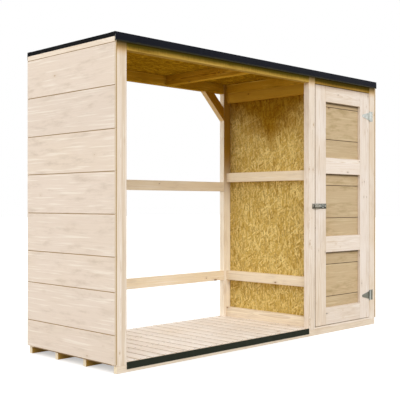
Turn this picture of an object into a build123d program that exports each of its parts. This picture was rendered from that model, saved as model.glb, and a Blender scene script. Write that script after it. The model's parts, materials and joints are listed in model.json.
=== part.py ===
"""Log store: an open log bay and a closed cupboard under one flat roof.

Lengths are in millimetres. The building is laid out from its front left corner: X to the
right, Y to the back, Z up from the ground. Each piece is moved to the part's origin, on the
ground under the middle of the roof, when it is written.
"""
from build123d import *
import math
import os

# Overall frame, over the outer faces of the corner posts.
FRAME_WIDTH = 2543.0
FRAME_DEPTH = 863.0
HEIGHT = 1870.0

# One timber section serves the posts, rails, headers, joists and braces.
TIMBER_WIDE = 70.0
TIMBER_THIN = 45.0

# Floor.
BEARER_THICK = 28.0
BEARER_HIGH = 40.0
BEARER_COUNT = 4
DECK_THICK = 18.0
EDGE_STRIP_THICK = 3.0
EDGE_STRIP_HIGH = 39.0
EDGE_STRIP_BELOW_DECK = 2.0

# Log bay, between the left wall's posts and the partition's posts.
BAY_WIDTH = 1644.0
MIDDLE_JOIST_AT = 1037.0
BRACE_LEG = 210.0
UPPER_BACK_RAIL_TOP = 1095.0

# Rails in the side walls and the partition.
UPPER_RAIL_TOP = 1166.0
LOWER_RAIL_TOP = 410.0
PARTITION_BOARD_THICK = 11.0

# Grooved boards on the outside: their heights from the ground up, below a top board that fills.
CLADDING_THICK = 16.0
CLADDING_BOTTOM = 51.0
WALL_BOARDS = (161.0, 234.0, 193.0, 234.0, 235.0, 233.0, 238.0)
GROOVE_WIDE = 5.0
GROOVE_DEEP = 3.0
TOP_TRIM_HIGH = 30.0

# Roof.
ROOF_BOARD_THICK = 16.0
FELT_THICK = 3.0
SHEET_THICK = 2.0
ROOF_OVERHANG = 6.0
FASCIA_HIGH = 50.0
SIDE_TRIM_HIGH = 26.0
SHEET_TOP_LEG = 42.0

# Door.
DOOR_GAP = 5.0
DOOR_BOTTOM = 60.0
DOOR_FRAME_THICK = 20.0
DOOR_BOARD_THICK = 16.0
STILE_WIDE = 124.0
TOP_RAIL_HIGH = 112.0
MIDDLE_RAIL_HIGH = 115.0
BOTTOM_RAIL_HIGH = 122.0
LOWER_PANEL_HIGH = 398.0
MIDDLE_PANEL_HIGH = 451.0
DOOR_BOARDS = (145.0, 235.0, 234.0, 98.0, 236.0, 235.0, 100.0, 232.0)

# Hinges.
LOWER_HINGE_FROM_BOTTOM = 169.0
UPPER_HINGE_FROM_TOP = 176.0
HINGE_SHEET = 2.5
HINGE_BARREL_RADIUS = 5.5
HINGE_PIN_RADIUS = 3.0
PIN_CLEARANCE = 0.08
KNUCKLE_GAP = 0.6
BARREL_CLEARANCE = 1.0
STRAP_LONG = 96.0
STRAP_ROOT_HIGH = 60.0
STRAP_TIP_HIGH = 15.0
STRAP_TIP_RADIUS = 6.0
PLATE_LONG = 44.0
PLATE_HIGH = 76.0

# Hasp and staple.
HASP_HEIGHT = 912.0
HASP_SHEET = 2.5
HASP_HIGH = 36.0
HASP_BARREL_RADIUS = 5.0
HASP_PIN_RADIUS = 2.5
HASP_FLAP_KNUCKLE = 18.0
HASP_BASE_LONG = 86.0
HASP_AXIS_FROM_DOOR_EDGE = 40.0
HASP_FLAP_LONG = 78.0
HASP_FLAP_CORNER = 11.0
SLOT_WIDE = 14.0
SLOT_HIGH = 28.0
STAPLE_AT = 63.0
STAPLE_WIRE = 4.0
STAPLE_SPREAD = 16.0
STAPLE_REACH = 22.0
STAPLE_PLATE_WIDE = 30.0
STAPLE_PLATE_THICK = 2.0

# Planes of the building that several pieces share.
DECK_TOP = BEARER_HIGH + DECK_THICK
TRIM_TOP = HEIGHT - SHEET_THICK
FELT_BOTTOM = TRIM_TOP - FELT_THICK
ROOF_BOTTOM = FELT_BOTTOM - ROOF_BOARD_THICK
HEADER_BOTTOM = ROOF_BOTTOM - TIMBER_WIDE
WALL_TRIM_TOP = HEIGHT - SIDE_TRIM_HIGH
CLADDING_TOP = WALL_TRIM_TOP - TOP_TRIM_HIGH
BACK_INNER = FRAME_DEPTH - TIMBER_THIN
BAY_LEFT = TIMBER_WIDE
BAY_RIGHT = BAY_LEFT + BAY_WIDTH
CUPBOARD_LEFT = BAY_RIGHT + TIMBER_WIDE
CUPBOARD_RIGHT = FRAME_WIDTH - TIMBER_WIDE
ROOF_FRONT = -ROOF_OVERHANG
ROOF_BACK = FRAME_DEPTH
DOOR_LEFT = CUPBOARD_LEFT + DOOR_GAP
DOOR_RIGHT = CUPBOARD_RIGHT - DOOR_GAP
DOOR_TOP = HEADER_BOTTOM - DOOR_GAP
HINGE_X = CUPBOARD_RIGHT - DOOR_GAP / 2
HASP_X = DOOR_LEFT + HASP_AXIS_FROM_DOOR_EDGE
ORIGIN = (FRAME_WIDTH / 2, (ROOF_FRONT + ROOF_BACK) / 2, 0.0)


def block(x0, x1, y0, y1, z0, z1):
    """Box between two opposite corners."""
    centre = Pos((x0 + x1) / 2, (y0 + y1) / 2, (z0 + z1) / 2)
    return centre * Box(x1 - x0, y1 - y0, z1 - z0)


def rod(x, y, z0, z1, radius):
    """Upright round bar between two heights."""
    return Pos(x, y, (z0 + z1) / 2) * Cylinder(radius, z1 - z0)


def joints(start, heights, direction):
    """Heights of the joints between boards, counted up or down from a start, lowest first."""
    found = []
    for height in heights:
        start += direction * height
        found.append(start)
    return sorted(found)


def save(name, *solids):
    """Move solids from the building's corner to the part's origin and write them as one node."""
    shape = solids[0] if len(solids) == 1 else Compound(children=list(solids))
    export_step(shape.moved(Location([-value for value in ORIGIN])), f"parts/{name}.step")


def grooved_panel(plane, length, bottom, top, thickness, joint_heights):
    """Panel of horizontal boards with a V groove along each joint of its outer face.

    The plane's X points out of the wall from its inner face, and its Z runs along the wall.
    Joints that lie above or below the panel are left out.
    """
    inside = [joint for joint in joint_heights if bottom + GROOVE_WIDE < joint < top - GROOVE_WIDE]
    outline = [(0, bottom), (thickness, bottom)]
    for joint in inside:
        outline.append((thickness, joint - GROOVE_WIDE / 2))
        outline.append((thickness - GROOVE_DEEP, joint))
        outline.append((thickness, joint + GROOVE_WIDE / 2))
    outline.extend([(thickness, top), (0, top)])
    face = make_face(Polyline(*outline, close=True))
    return extrude(plane * face, amount=length)


def elevation(points, y_front, depth):
    """Flat piece cut to an outline in the front view, from y_front back by depth."""
    plane = Plane(origin=(0, y_front + depth, 0), x_dir=(1, 0, 0), z_dir=(0, -1, 0))
    return extrude(plane * make_face(Polyline(*points, close=True)), amount=depth)


def floor():
    """Bearers, the two floors, the strip along the log bay and the door sill."""
    pitch = (FRAME_DEPTH - BEARER_THICK) / (BEARER_COUNT - 1)
    bearers = []
    for number in range(BEARER_COUNT):
        front = number * pitch
        bearers.append(block(0, FRAME_WIDTH, front, front + BEARER_THICK, 0, BEARER_HIGH))
    save("floor_bearers", *bearers)

    deck = block(0, CUPBOARD_LEFT, 0, FRAME_DEPTH, BEARER_HIGH, DECK_TOP)
    for left in (0, BAY_RIGHT):
        for front in (0, BACK_INNER):
            deck -= block(left, left + TIMBER_WIDE, front, front + TIMBER_THIN, BEARER_HIGH, DECK_TOP)
    save("log_bay_deck", deck)

    cupboard = block(CUPBOARD_LEFT, FRAME_WIDTH, TIMBER_THIN, FRAME_DEPTH, BEARER_HIGH, DECK_TOP)
    cupboard -= block(CUPBOARD_RIGHT, FRAME_WIDTH, BACK_INNER, FRAME_DEPTH, BEARER_HIGH, DECK_TOP)
    save("cupboard_floor", cupboard)

    sill_top = DOOR_BOTTOM - DOOR_GAP
    save("door_sill", block(CUPBOARD_LEFT, CUPBOARD_RIGHT, 0, TIMBER_THIN, BEARER_HIGH, sill_top))

    strip_top = DECK_TOP - EDGE_STRIP_BELOW_DECK
    strip_bottom = strip_top - EDGE_STRIP_HIGH
    save("floor_edge_strip", block(BAY_LEFT, BAY_RIGHT, -EDGE_STRIP_THICK, 0, strip_bottom, strip_top))


def posts():
    """Three front posts and three back posts, from the bearers to the roof board."""
    lefts = {"left": 0, "middle": BAY_RIGHT, "right": CUPBOARD_RIGHT}
    fronts = {"front": 0, "back": BACK_INNER}
    for side, left in lefts.items():
        for row, front in fronts.items():
            post = block(left, left + TIMBER_WIDE, front, front + TIMBER_THIN, BEARER_HIGH, ROOF_BOTTOM)
            save(f"{side}_{row}_post", post)


def wall_rails(name, left):
    """Bottom plate, two rails and top plate of one cross wall."""
    tops = (DECK_TOP + TIMBER_WIDE, LOWER_RAIL_TOP, UPPER_RAIL_TOP, HEADER_BOTTOM)
    rails = []
    for top in tops:
        rails.append(block(left, left + TIMBER_THIN, TIMBER_THIN, BACK_INNER, top - TIMBER_WIDE, top))
    save(name, *rails)


def walls():
    """Rails, the partition's board and the grooved boards outside."""
    partition_left = CUPBOARD_LEFT - TIMBER_THIN
    wall_rails("left_wall_rails", 0)
    wall_rails("partition_rails", partition_left)
    wall_rails("right_wall_rails", FRAME_WIDTH - TIMBER_THIN)

    board_right = CUPBOARD_LEFT + PARTITION_BOARD_THICK
    save("partition_board",
         block(CUPBOARD_LEFT, board_right, TIMBER_THIN, BACK_INNER, DECK_TOP, ROOF_BOTTOM))

    joint_heights = joints(CLADDING_BOTTOM, WALL_BOARDS, 1)
    sides = {
        "left": Plane(origin=(0, 0, 0), x_dir=(-1, 0, 0), z_dir=(0, 1, 0)),
        "right": Plane(origin=(FRAME_WIDTH, FRAME_DEPTH, 0), x_dir=(1, 0, 0), z_dir=(0, -1, 0)),
    }
    trims = []
    for side, plane in sides.items():
        panel = grooved_panel(
            plane, FRAME_DEPTH, CLADDING_BOTTOM, CLADDING_TOP, CLADDING_THICK, joint_heights)
        save(f"{side}_cladding", panel)
        trims.append(grooved_panel(plane, FRAME_DEPTH, CLADDING_TOP, WALL_TRIM_TOP, CLADDING_THICK, ()))
    save("wall_top_trims", *trims)

    inner_face = FRAME_DEPTH - CLADDING_THICK
    back = Plane(origin=(CUPBOARD_LEFT, inner_face, 0), x_dir=(0, 1, 0), z_dir=(1, 0, 0))
    width = CUPBOARD_RIGHT - CUPBOARD_LEFT
    panel = grooved_panel(back, width, DECK_TOP, HEADER_BOTTOM, CLADDING_THICK, joint_heights)
    save("back_cladding", panel)


def bay_back():
    """Open back of the log bay: two rails and a knee brace in each top corner."""
    rails = []
    for top in (LOWER_RAIL_TOP, UPPER_BACK_RAIL_TOP):
        rails.append(block(BAY_LEFT, BAY_RIGHT, BACK_INNER, FRAME_DEPTH, top - TIMBER_WIDE, top))
    save("back_rails", *rails)

    inner_leg = BRACE_LEG - TIMBER_WIDE * math.sqrt(2)
    braces = []
    for corner, inward in ((BAY_LEFT, 1), (BAY_RIGHT, -1)):
        outline = [
            (corner + inward * BRACE_LEG, HEADER_BOTTOM),
            (corner + inward * inner_leg, HEADER_BOTTOM),
            (corner, HEADER_BOTTOM - inner_leg),
            (corner, HEADER_BOTTOM - BRACE_LEG),
        ]
        braces.append(elevation(outline, BACK_INNER, TIMBER_THIN))
    save("knee_braces", *braces)


def roof_frame():
    """Headers between the posts and joists between the headers."""
    bay = (BAY_LEFT, BAY_RIGHT)
    cupboard = (CUPBOARD_LEFT, CUPBOARD_RIGHT)
    save("log_bay_header", block(*bay, 0, TIMBER_THIN, HEADER_BOTTOM, ROOF_BOTTOM))
    save("door_header", block(*cupboard, 0, TIMBER_THIN, HEADER_BOTTOM, ROOF_BOTTOM))
    save("back_headers",
         block(*bay, BACK_INNER, FRAME_DEPTH, HEADER_BOTTOM, ROOF_BOTTOM),
         block(*cupboard, BACK_INNER, FRAME_DEPTH, HEADER_BOTTOM, ROOF_BOTTOM))

    lefts = {
        "left_joist": 0,
        "middle_joist": BAY_LEFT + MIDDLE_JOIST_AT,
        "partition_joist": CUPBOARD_LEFT - TIMBER_THIN,
        "right_joist": FRAME_WIDTH - TIMBER_THIN,
    }
    for name, left in lefts.items():
        save(name, block(left, left + TIMBER_THIN, TIMBER_THIN, BACK_INNER, HEADER_BOTTOM, ROOF_BOTTOM))


def roof():
    """Roof board, felt and the folded sheet trims round its edge."""
    outer_left = -CLADDING_THICK
    outer_right = FRAME_WIDTH + CLADDING_THICK
    area = (outer_left + SHEET_THICK, outer_right - SHEET_THICK, ROOF_FRONT, ROOF_BACK)
    save("roof_board", block(*area, ROOF_BOTTOM, FELT_BOTTOM))
    save("roof_felt", block(*area, FELT_BOTTOM, TRIM_TOP))

    fascia_bottom = HEIGHT - FASCIA_HIGH
    front_face = ROOF_FRONT - SHEET_THICK
    back_face = ROOF_BACK + SHEET_THICK
    front = block(outer_left, outer_right, front_face, ROOF_FRONT, fascia_bottom, HEIGHT)
    front += block(outer_left, outer_right, front_face, front_face + SHEET_TOP_LEG, TRIM_TOP, HEIGHT)
    save("front_fascia", front)
    back = block(outer_left, outer_right, ROOF_BACK, back_face, fascia_bottom, HEIGHT)
    back += block(outer_left, outer_right, back_face - SHEET_TOP_LEG, back_face, TRIM_TOP, HEIGHT)
    save("back_fascia", back)

    leg_front = front_face + SHEET_TOP_LEG
    leg_back = back_face - SHEET_TOP_LEG
    left = block(outer_left, outer_left + SHEET_THICK, ROOF_FRONT, ROOF_BACK, WALL_TRIM_TOP, TRIM_TOP)
    left += block(outer_left, outer_left + SHEET_TOP_LEG, leg_front, leg_back, TRIM_TOP, HEIGHT)
    right = block(outer_right - SHEET_THICK, outer_right, ROOF_FRONT, ROOF_BACK, WALL_TRIM_TOP, TRIM_TOP)
    right += block(outer_right - SHEET_TOP_LEG, outer_right, leg_front, leg_back, TRIM_TOP, HEIGHT)
    save("roof_side_trims", left, right)


def door():
    """Framed door: stiles and rails in front of a panel of grooved boards."""
    frame = (0, DOOR_FRAME_THICK)
    left_inner = DOOR_LEFT + STILE_WIDE
    right_inner = DOOR_RIGHT - STILE_WIDE
    save("door_left_stile", block(DOOR_LEFT, left_inner, *frame, DOOR_BOTTOM, DOOR_TOP))
    save("door_right_stile", block(right_inner, DOOR_RIGHT, *frame, DOOR_BOTTOM, DOOR_TOP))

    lower = DOOR_BOTTOM + BOTTOM_RAIL_HIGH + LOWER_PANEL_HIGH
    upper = lower + MIDDLE_RAIL_HIGH + MIDDLE_PANEL_HIGH
    spans = (
        (DOOR_BOTTOM, DOOR_BOTTOM + BOTTOM_RAIL_HIGH),
        (lower, lower + MIDDLE_RAIL_HIGH),
        (upper, upper + MIDDLE_RAIL_HIGH),
        (DOOR_TOP - TOP_RAIL_HIGH, DOOR_TOP),
    )
    save("door_rails", *[block(left_inner, right_inner, *frame, *span) for span in spans])

    back = DOOR_FRAME_THICK + DOOR_BOARD_THICK
    plane = Plane(origin=(DOOR_RIGHT, back, 0), x_dir=(0, -1, 0), z_dir=(-1, 0, 0))
    width = DOOR_RIGHT - DOOR_LEFT
    joint_heights = joints(DOOR_TOP, DOOR_BOARDS, -1)
    panel = grooved_panel(plane, width, DOOR_BOTTOM, DOOR_TOP, DOOR_BOARD_THICK, joint_heights)
    save("door_boards", panel)


def hinge(name, z):
    """T hinge on the face of the door: tapered strap, post plate and pin."""
    axis_y = -HINGE_BARREL_RADIUS
    half_root = STRAP_ROOT_HIGH / 2
    half_plate = PLATE_HIGH / 2
    knuckle = half_root + KNUCKLE_GAP
    tip = HINGE_X - STRAP_LONG

    strap = elevation(
        [(HINGE_X, z - half_root), (HINGE_X, z + half_root),
         (tip, z + STRAP_TIP_HIGH / 2), (tip, z - STRAP_TIP_HIGH / 2)],
        -HINGE_SHEET, HINGE_SHEET)
    strap = fillet(strap.edges().filter_by(Axis.Y).group_by(Axis.X)[0], STRAP_TIP_RADIUS)
    strap += rod(HINGE_X, axis_y, z - half_root, z + half_root, HINGE_BARREL_RADIUS)
    strap -= rod(HINGE_X, axis_y, z - half_root, z + half_root, HINGE_PIN_RADIUS + PIN_CLEARANCE)
    save(f"{name}_hinge_strap", strap)

    cleared = HINGE_X + HINGE_BARREL_RADIUS + BARREL_CLEARANCE
    plate = block(HINGE_X, HINGE_X + PLATE_LONG, -HINGE_SHEET, 0, z - half_plate, z + half_plate)
    plate -= block(HINGE_X, cleared, -HINGE_SHEET, 0, z - knuckle, z + knuckle)
    plate += rod(HINGE_X, axis_y, z - half_plate, z - knuckle, HINGE_BARREL_RADIUS)
    plate += rod(HINGE_X, axis_y, z + knuckle, z + half_plate, HINGE_BARREL_RADIUS)
    plate += rod(HINGE_X, axis_y, z - half_plate, z + half_plate, HINGE_PIN_RADIUS)
    save(f"{name}_hinge_plate", plate)


def hasp():
    """Hasp base and slotted flap on the door, and the staple on the middle post."""
    axis_y = -HASP_BARREL_RADIUS
    z = HASP_HEIGHT
    half = HASP_HIGH / 2
    half_knuckle = HASP_FLAP_KNUCKLE / 2
    base_knuckle = half_knuckle + KNUCKLE_GAP
    clear = HASP_BARREL_RADIUS + BARREL_CLEARANCE

    base = block(HASP_X, HASP_X + HASP_BASE_LONG, -HASP_SHEET, 0, z - half, z + half)
    base -= block(HASP_X, HASP_X + clear, -HASP_SHEET, 0, z - base_knuckle, z + base_knuckle)
    base += rod(HASP_X, axis_y, z - half, z - base_knuckle, HASP_BARREL_RADIUS)
    base += rod(HASP_X, axis_y, z + base_knuckle, z + half, HASP_BARREL_RADIUS)
    base += rod(HASP_X, axis_y, z - half, z + half, HASP_PIN_RADIUS)
    save("hasp_base", base)

    flap_front = axis_y - HASP_SHEET
    flap_left = HASP_X - HASP_FLAP_LONG
    flap = block(flap_left, HASP_X - clear, flap_front, axis_y, z - half, z + half)
    flap = fillet(flap.edges().filter_by(Axis.Y).group_by(Axis.X)[0], HASP_FLAP_CORNER)
    flap += block(HASP_X - clear, HASP_X, flap_front, axis_y, z - half_knuckle, z + half_knuckle)
    flap += rod(HASP_X, axis_y, z - half_knuckle, z + half_knuckle, HASP_BARREL_RADIUS)
    flap -= rod(HASP_X, axis_y, z - half_knuckle, z + half_knuckle, HASP_PIN_RADIUS + PIN_CLEARANCE)
    staple_x = HASP_X - STAPLE_AT
    flap -= block(staple_x - SLOT_WIDE / 2, staple_x + SLOT_WIDE / 2, flap_front, axis_y,
                  z - SLOT_HIGH / 2, z + SLOT_HIGH / 2)
    save("hasp_flap", flap)

    plate_left = staple_x - STAPLE_PLATE_WIDE / 2
    staple = block(plate_left, plate_left + STAPLE_PLATE_WIDE, -STAPLE_PLATE_THICK, 0, z - half, z + half)
    bend = STAPLE_SPREAD / 2
    turn_y = -(STAPLE_REACH - STAPLE_WIRE / 2 - bend)
    plane = Plane(origin=(staple_x, 0, z), x_dir=(0, -1, 0), z_dir=(1, 0, 0))
    path = plane * (
        Line((0, -bend), (-turn_y, -bend))
        + RadiusArc((-turn_y, -bend), (-turn_y, bend), -bend)
        + Line((-turn_y, bend), (0, bend))
    )
    start = Plane(origin=path @ 0, z_dir=path % 0)
    staple += sweep(start * Circle(STAPLE_WIRE / 2), path=path)
    save("hasp_staple", staple)


def main():
    """Write every piece."""
    os.makedirs("parts", exist_ok=True)
    floor()
    posts()
    walls()
    bay_back()
    roof_frame()
    roof()
    door()
    hinge("lower", DOOR_BOTTOM + LOWER_HINGE_FROM_BOTTOM)
    hinge("upper", DOOR_TOP - UPPER_HINGE_FROM_TOP)
    hasp()


main()
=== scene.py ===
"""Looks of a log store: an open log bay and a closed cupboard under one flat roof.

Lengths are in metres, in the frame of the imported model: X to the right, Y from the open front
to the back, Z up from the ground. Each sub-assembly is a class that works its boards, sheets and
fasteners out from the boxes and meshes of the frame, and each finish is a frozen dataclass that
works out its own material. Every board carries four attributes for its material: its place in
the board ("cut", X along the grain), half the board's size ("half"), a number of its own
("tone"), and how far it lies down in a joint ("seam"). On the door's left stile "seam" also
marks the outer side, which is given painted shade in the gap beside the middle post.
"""
import json
import logging
import math
import random
from collections.abc import Callable, Iterable
from dataclasses import dataclass, field, replace
from enum import Enum
from functools import cache

import bmesh
import bpy
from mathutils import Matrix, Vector, noise

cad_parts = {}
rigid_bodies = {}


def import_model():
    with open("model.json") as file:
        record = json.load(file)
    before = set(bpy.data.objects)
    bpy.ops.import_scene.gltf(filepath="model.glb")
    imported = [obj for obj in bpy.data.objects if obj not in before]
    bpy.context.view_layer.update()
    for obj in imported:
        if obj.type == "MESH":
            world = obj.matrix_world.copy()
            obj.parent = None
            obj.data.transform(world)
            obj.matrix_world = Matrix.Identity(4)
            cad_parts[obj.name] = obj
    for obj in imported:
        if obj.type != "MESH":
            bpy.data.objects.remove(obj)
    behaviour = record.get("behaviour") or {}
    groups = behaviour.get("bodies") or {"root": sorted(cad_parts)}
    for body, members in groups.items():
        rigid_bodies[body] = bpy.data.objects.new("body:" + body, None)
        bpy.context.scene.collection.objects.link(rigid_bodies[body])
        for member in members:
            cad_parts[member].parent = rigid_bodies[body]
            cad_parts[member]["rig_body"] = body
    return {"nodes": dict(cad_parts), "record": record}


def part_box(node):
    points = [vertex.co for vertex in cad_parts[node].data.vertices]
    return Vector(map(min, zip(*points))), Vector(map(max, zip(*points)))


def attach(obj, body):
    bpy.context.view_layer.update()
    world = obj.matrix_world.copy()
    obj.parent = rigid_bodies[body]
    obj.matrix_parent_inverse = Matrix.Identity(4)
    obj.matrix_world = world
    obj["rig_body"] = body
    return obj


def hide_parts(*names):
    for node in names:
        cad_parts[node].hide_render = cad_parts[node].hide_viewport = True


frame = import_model()
log = logging.getLogger("log_store")

MERGE = 1e-5
FLAT = math.radians(0.6)
CREASE = math.radians(28)
UP = Vector((0, 0, 1))
FORWARD = Vector((0, -1, 0))
WHITE = (1.0, 1.0, 1.0, 1.0)
Socket = bpy.types.NodeSocket
Node = bpy.types.Node
Tree = bpy.types.NodeTree
Mesh = bpy.types.Mesh
Shape = bmesh.types.BMesh
Colour = tuple[float, float, float]
Pair = tuple[float, float]
Points = list[Vector]


class Body(str, Enum):
    """The bodies that pieces ride on."""

    STORE = "store"
    DOOR = "door"


class Wall(Enum):
    """Direction in which a boarded face looks out."""

    LEFT = (-1, 0, 0)
    RIGHT = (1, 0, 0)
    FRONT = (0, -1, 0)
    BACK = (0, 1, 0)


def linear(shown: Colour) -> tuple[float, float, float, float]:
    """Colour for a shader socket from its display values.

    Args:
        shown: red, green and blue as displayed, 0 to 255.

    Returns:
        Scene-linear red, green and blue, and an alpha of 1.
    """
    shares = [value / 255 for value in shown]
    made = [s / 12.92 if s <= 0.04045 else ((s + 0.055) / 1.055) ** 2.4 for s in shares]
    return (*made, 1.0)


class Wiring:
    """Adds nodes to one tree and links them. An input is a plain value or another socket."""

    def __init__(self, tree: Tree) -> None:
        """Starts on a tree, which keeps the nodes it has."""
        self.tree = tree

    def add(self, kind: str, inputs: dict | None = None, **settings: object) -> Node:
        """Adds one node.

        Args:
            kind: Blender's name for the type of node.
            inputs: value or socket for each input, by name or number.
            settings: values for the node's own properties.

        Returns:
            The new node.
        """
        node = self.tree.nodes.new(kind)
        for name, value in settings.items():
            setattr(node, name, value)
        for key, value in (inputs or {}).items():
            self.feed(node.inputs[key], value)
        return node

    def feed(self, target: Socket, value: object) -> None:
        """Links a socket, or sets a plain value, into an input.

        Args:
            target: the input.
            value: plain value or socket.
        """
        if isinstance(value, Socket):
            self.tree.links.new(value, target)
        else:
            target.default_value = value

    def effect(self, tree: Tree, inputs: dict) -> bpy.types.bpy_prop_collection:
        """Places a shared effect and returns its outputs."""
        return self.add("ShaderNodeGroup", inputs, node_tree=tree).outputs

    def math(self, operation: str, *values: object) -> Socket:
        """Result of a Math node on one, two or three values."""
        return self.add("ShaderNodeMath", dict(enumerate(values)), operation=operation).outputs[0]

    def vector(self, operation: str, *values: object) -> Socket:
        """Result of a Vector Math node on one or two vectors."""
        inputs = dict(enumerate(values))
        return self.add("ShaderNodeVectorMath", inputs, operation=operation).outputs[0]

    def times(self, first: object, second: object) -> Socket:
        """Product of two values."""
        return self.math("MULTIPLY", first, second)

    def scaled(self, value: object, factor: object, shift: object = 0.0) -> Socket:
        """Value times a factor, plus a shift."""
        return self.math("MULTIPLY_ADD", value, factor, shift)

    def shuffled(self, value: object, factor: float) -> Socket:
        """Another number from 0 to 1, drawn from a first one."""
        return self.math("FRACT", self.scaled(value, factor))

    def split(self, vector: object) -> tuple[Socket, Socket, Socket]:
        """The three parts of a vector."""
        return tuple(self.add("ShaderNodeSeparateXYZ", {0: vector}).outputs)

    def combine(self, x: object, y: object, z: object) -> Socket:
        """Vector from its three parts."""
        return self.add("ShaderNodeCombineXYZ", {0: x, 1: y, 2: z}).outputs[0]

    def stretched(self, parts: Iterable[Socket], *factors: float) -> Socket:
        """Vector from three parts, each times a factor of its own."""
        return self.combine(*(self.scaled(part, factor) for part, factor in zip(parts, factors)))

    def smooth(self, value: object, low: object, high: object) -> Socket:
        """0 at low, 1 at high, and a smooth step between. Low may be the greater one."""
        inputs = {"Value": value, "From Min": low, "From Max": high}
        return self.add("ShaderNodeMapRange", inputs, interpolation_type="SMOOTHSTEP").outputs[0]

    def blend(self, factor: object, first: object, second: object, kind: str = "MIX") -> Socket:
        """Mix of two colours.

        Args:
            factor: share of the second colour.
            first: colour at a factor of 0.
            second: colour at a factor of 1.
            kind: blend type of the Mix node.

        Returns:
            The mixed colour.
        """
        return self.add("ShaderNodeMix", {0: factor, 6: first, 7: second}, data_type="RGBA",
                        blend_type=kind, clamp_factor=True).outputs[2]

    def layered(self, colour: object, layers: Iterable[tuple[object, Colour]]) -> Socket:
        """Lays tints over a colour in turn, each with its share.

        Args:
            colour: what lies below.
            layers: share and tint of each layer.

        Returns:
            The tinted colour.
        """
        for share, tint in layers:
            colour = self.blend(share, colour, linear(tint))
        return colour

    def noise(self, vector: object, detail: float = 2.0, roughness: float = 0.5,
              scale: object = 1.0) -> Socket:
        """Value of a 3-D noise, about 0.5 in the mean."""
        inputs = {"Vector": vector, "Scale": scale, "Detail": detail, "Roughness": roughness}
        return self.add("ShaderNodeTexNoise", inputs, noise_dimensions="3D").outputs["Fac"]

    def cells(self, vector: object, feature: str = "F1", dimensions: str = "3D",
              randomness: float = 1.0, scale: float = 1.0) -> bpy.types.bpy_prop_collection:
        """Outputs of a Voronoi node on a vector."""
        inputs = {"Vector": vector, "Scale": scale, "Randomness": randomness}
        return self.add("ShaderNodeTexVoronoi", inputs, feature=feature,
                        voronoi_dimensions=dimensions).outputs

    def attribute(self, name: str, output: str = "Fac") -> Socket:
        """What a mesh carries under a name."""
        return self.add("ShaderNodeAttribute", attribute_name=name,
                        attribute_type="GEOMETRY").outputs[output]

    def place(self) -> Socket:
        """Object coordinates, in metres."""
        return self.add("ShaderNodeTexCoord").outputs["Object"]


class Group(Wiring):
    """A node tree of its own, with named inputs and outputs."""

    def __init__(self, name: str, kind: str, inputs: dict[str, object]) -> None:
        """Makes the tree and its inputs.

        Args:
            name: the tree's name.
            kind: Blender's name for the kind of tree.
            inputs: type of socket, or the usual value of a number, for each input by name.
        """
        super().__init__(bpy.data.node_groups.new(name, kind))
        for key, value in inputs.items():
            if isinstance(value, str):
                self.socket(key, "INPUT", value)
            else:
                self.socket(key, "INPUT", "Float").default_value = value
        self.given = {socket.name: socket for socket in self.add("NodeGroupInput").outputs}

    def socket(self, key: str, side: str, kind: str) -> bpy.types.NodeTreeInterfaceSocket:
        """Adds a named input or output to the tree."""
        return self.tree.interface.new_socket(key, in_out=side, socket_type=f"NodeSocket{kind}")

    def end(self, outputs: dict[str, Socket], kind: str = "Float") -> Tree:
        """Gives the tree its outputs.

        Args:
            outputs: what feeds each output, by name.
            kind: type of socket of them all.

        Returns:
            The finished tree.
        """
        for key in outputs:
            self.socket(key, "OUTPUT", kind)
        self.add("NodeGroupOutput", outputs)
        return self.tree

    def end_field(self, instances: Socket) -> Tree:
        """Realizes the instances and sets their material.

        Args:
            instances: the instances that the tree lays.

        Returns:
            The finished tree.
        """
        real = self.add("GeometryNodeRealizeInstances", {"Geometry": instances}).outputs[0]
        dressed = self.add("GeometryNodeSetMaterial",
                           {"Geometry": real, "Material": self.given["Material"]})
        return self.end({"Geometry": dressed.outputs[0]}, "Geometry")


@dataclass(frozen=True)
class Grain:
    """Noise drawn out along the grain, and the step that makes a mask of it."""

    along: float
    across: float
    low: float = 0.0
    high: float = 1.0
    detail: float = 2.0
    roughness: float = 0.5

    def value(self, w: Wiring, place: tuple[Socket, Socket, Socket]) -> Socket:
        """The noise itself, at a place in the log."""
        vector = w.stretched(place, self.along, self.across, self.across)
        return w.noise(vector, self.detail, self.roughness)

    def mask(self, w: Wiring, place: tuple[Socket, Socket, Socket]) -> Socket:
        """0 where the noise is low, and 1 where it is high."""
        return w.smooth(self.value(w, place), self.low, self.high)


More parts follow.
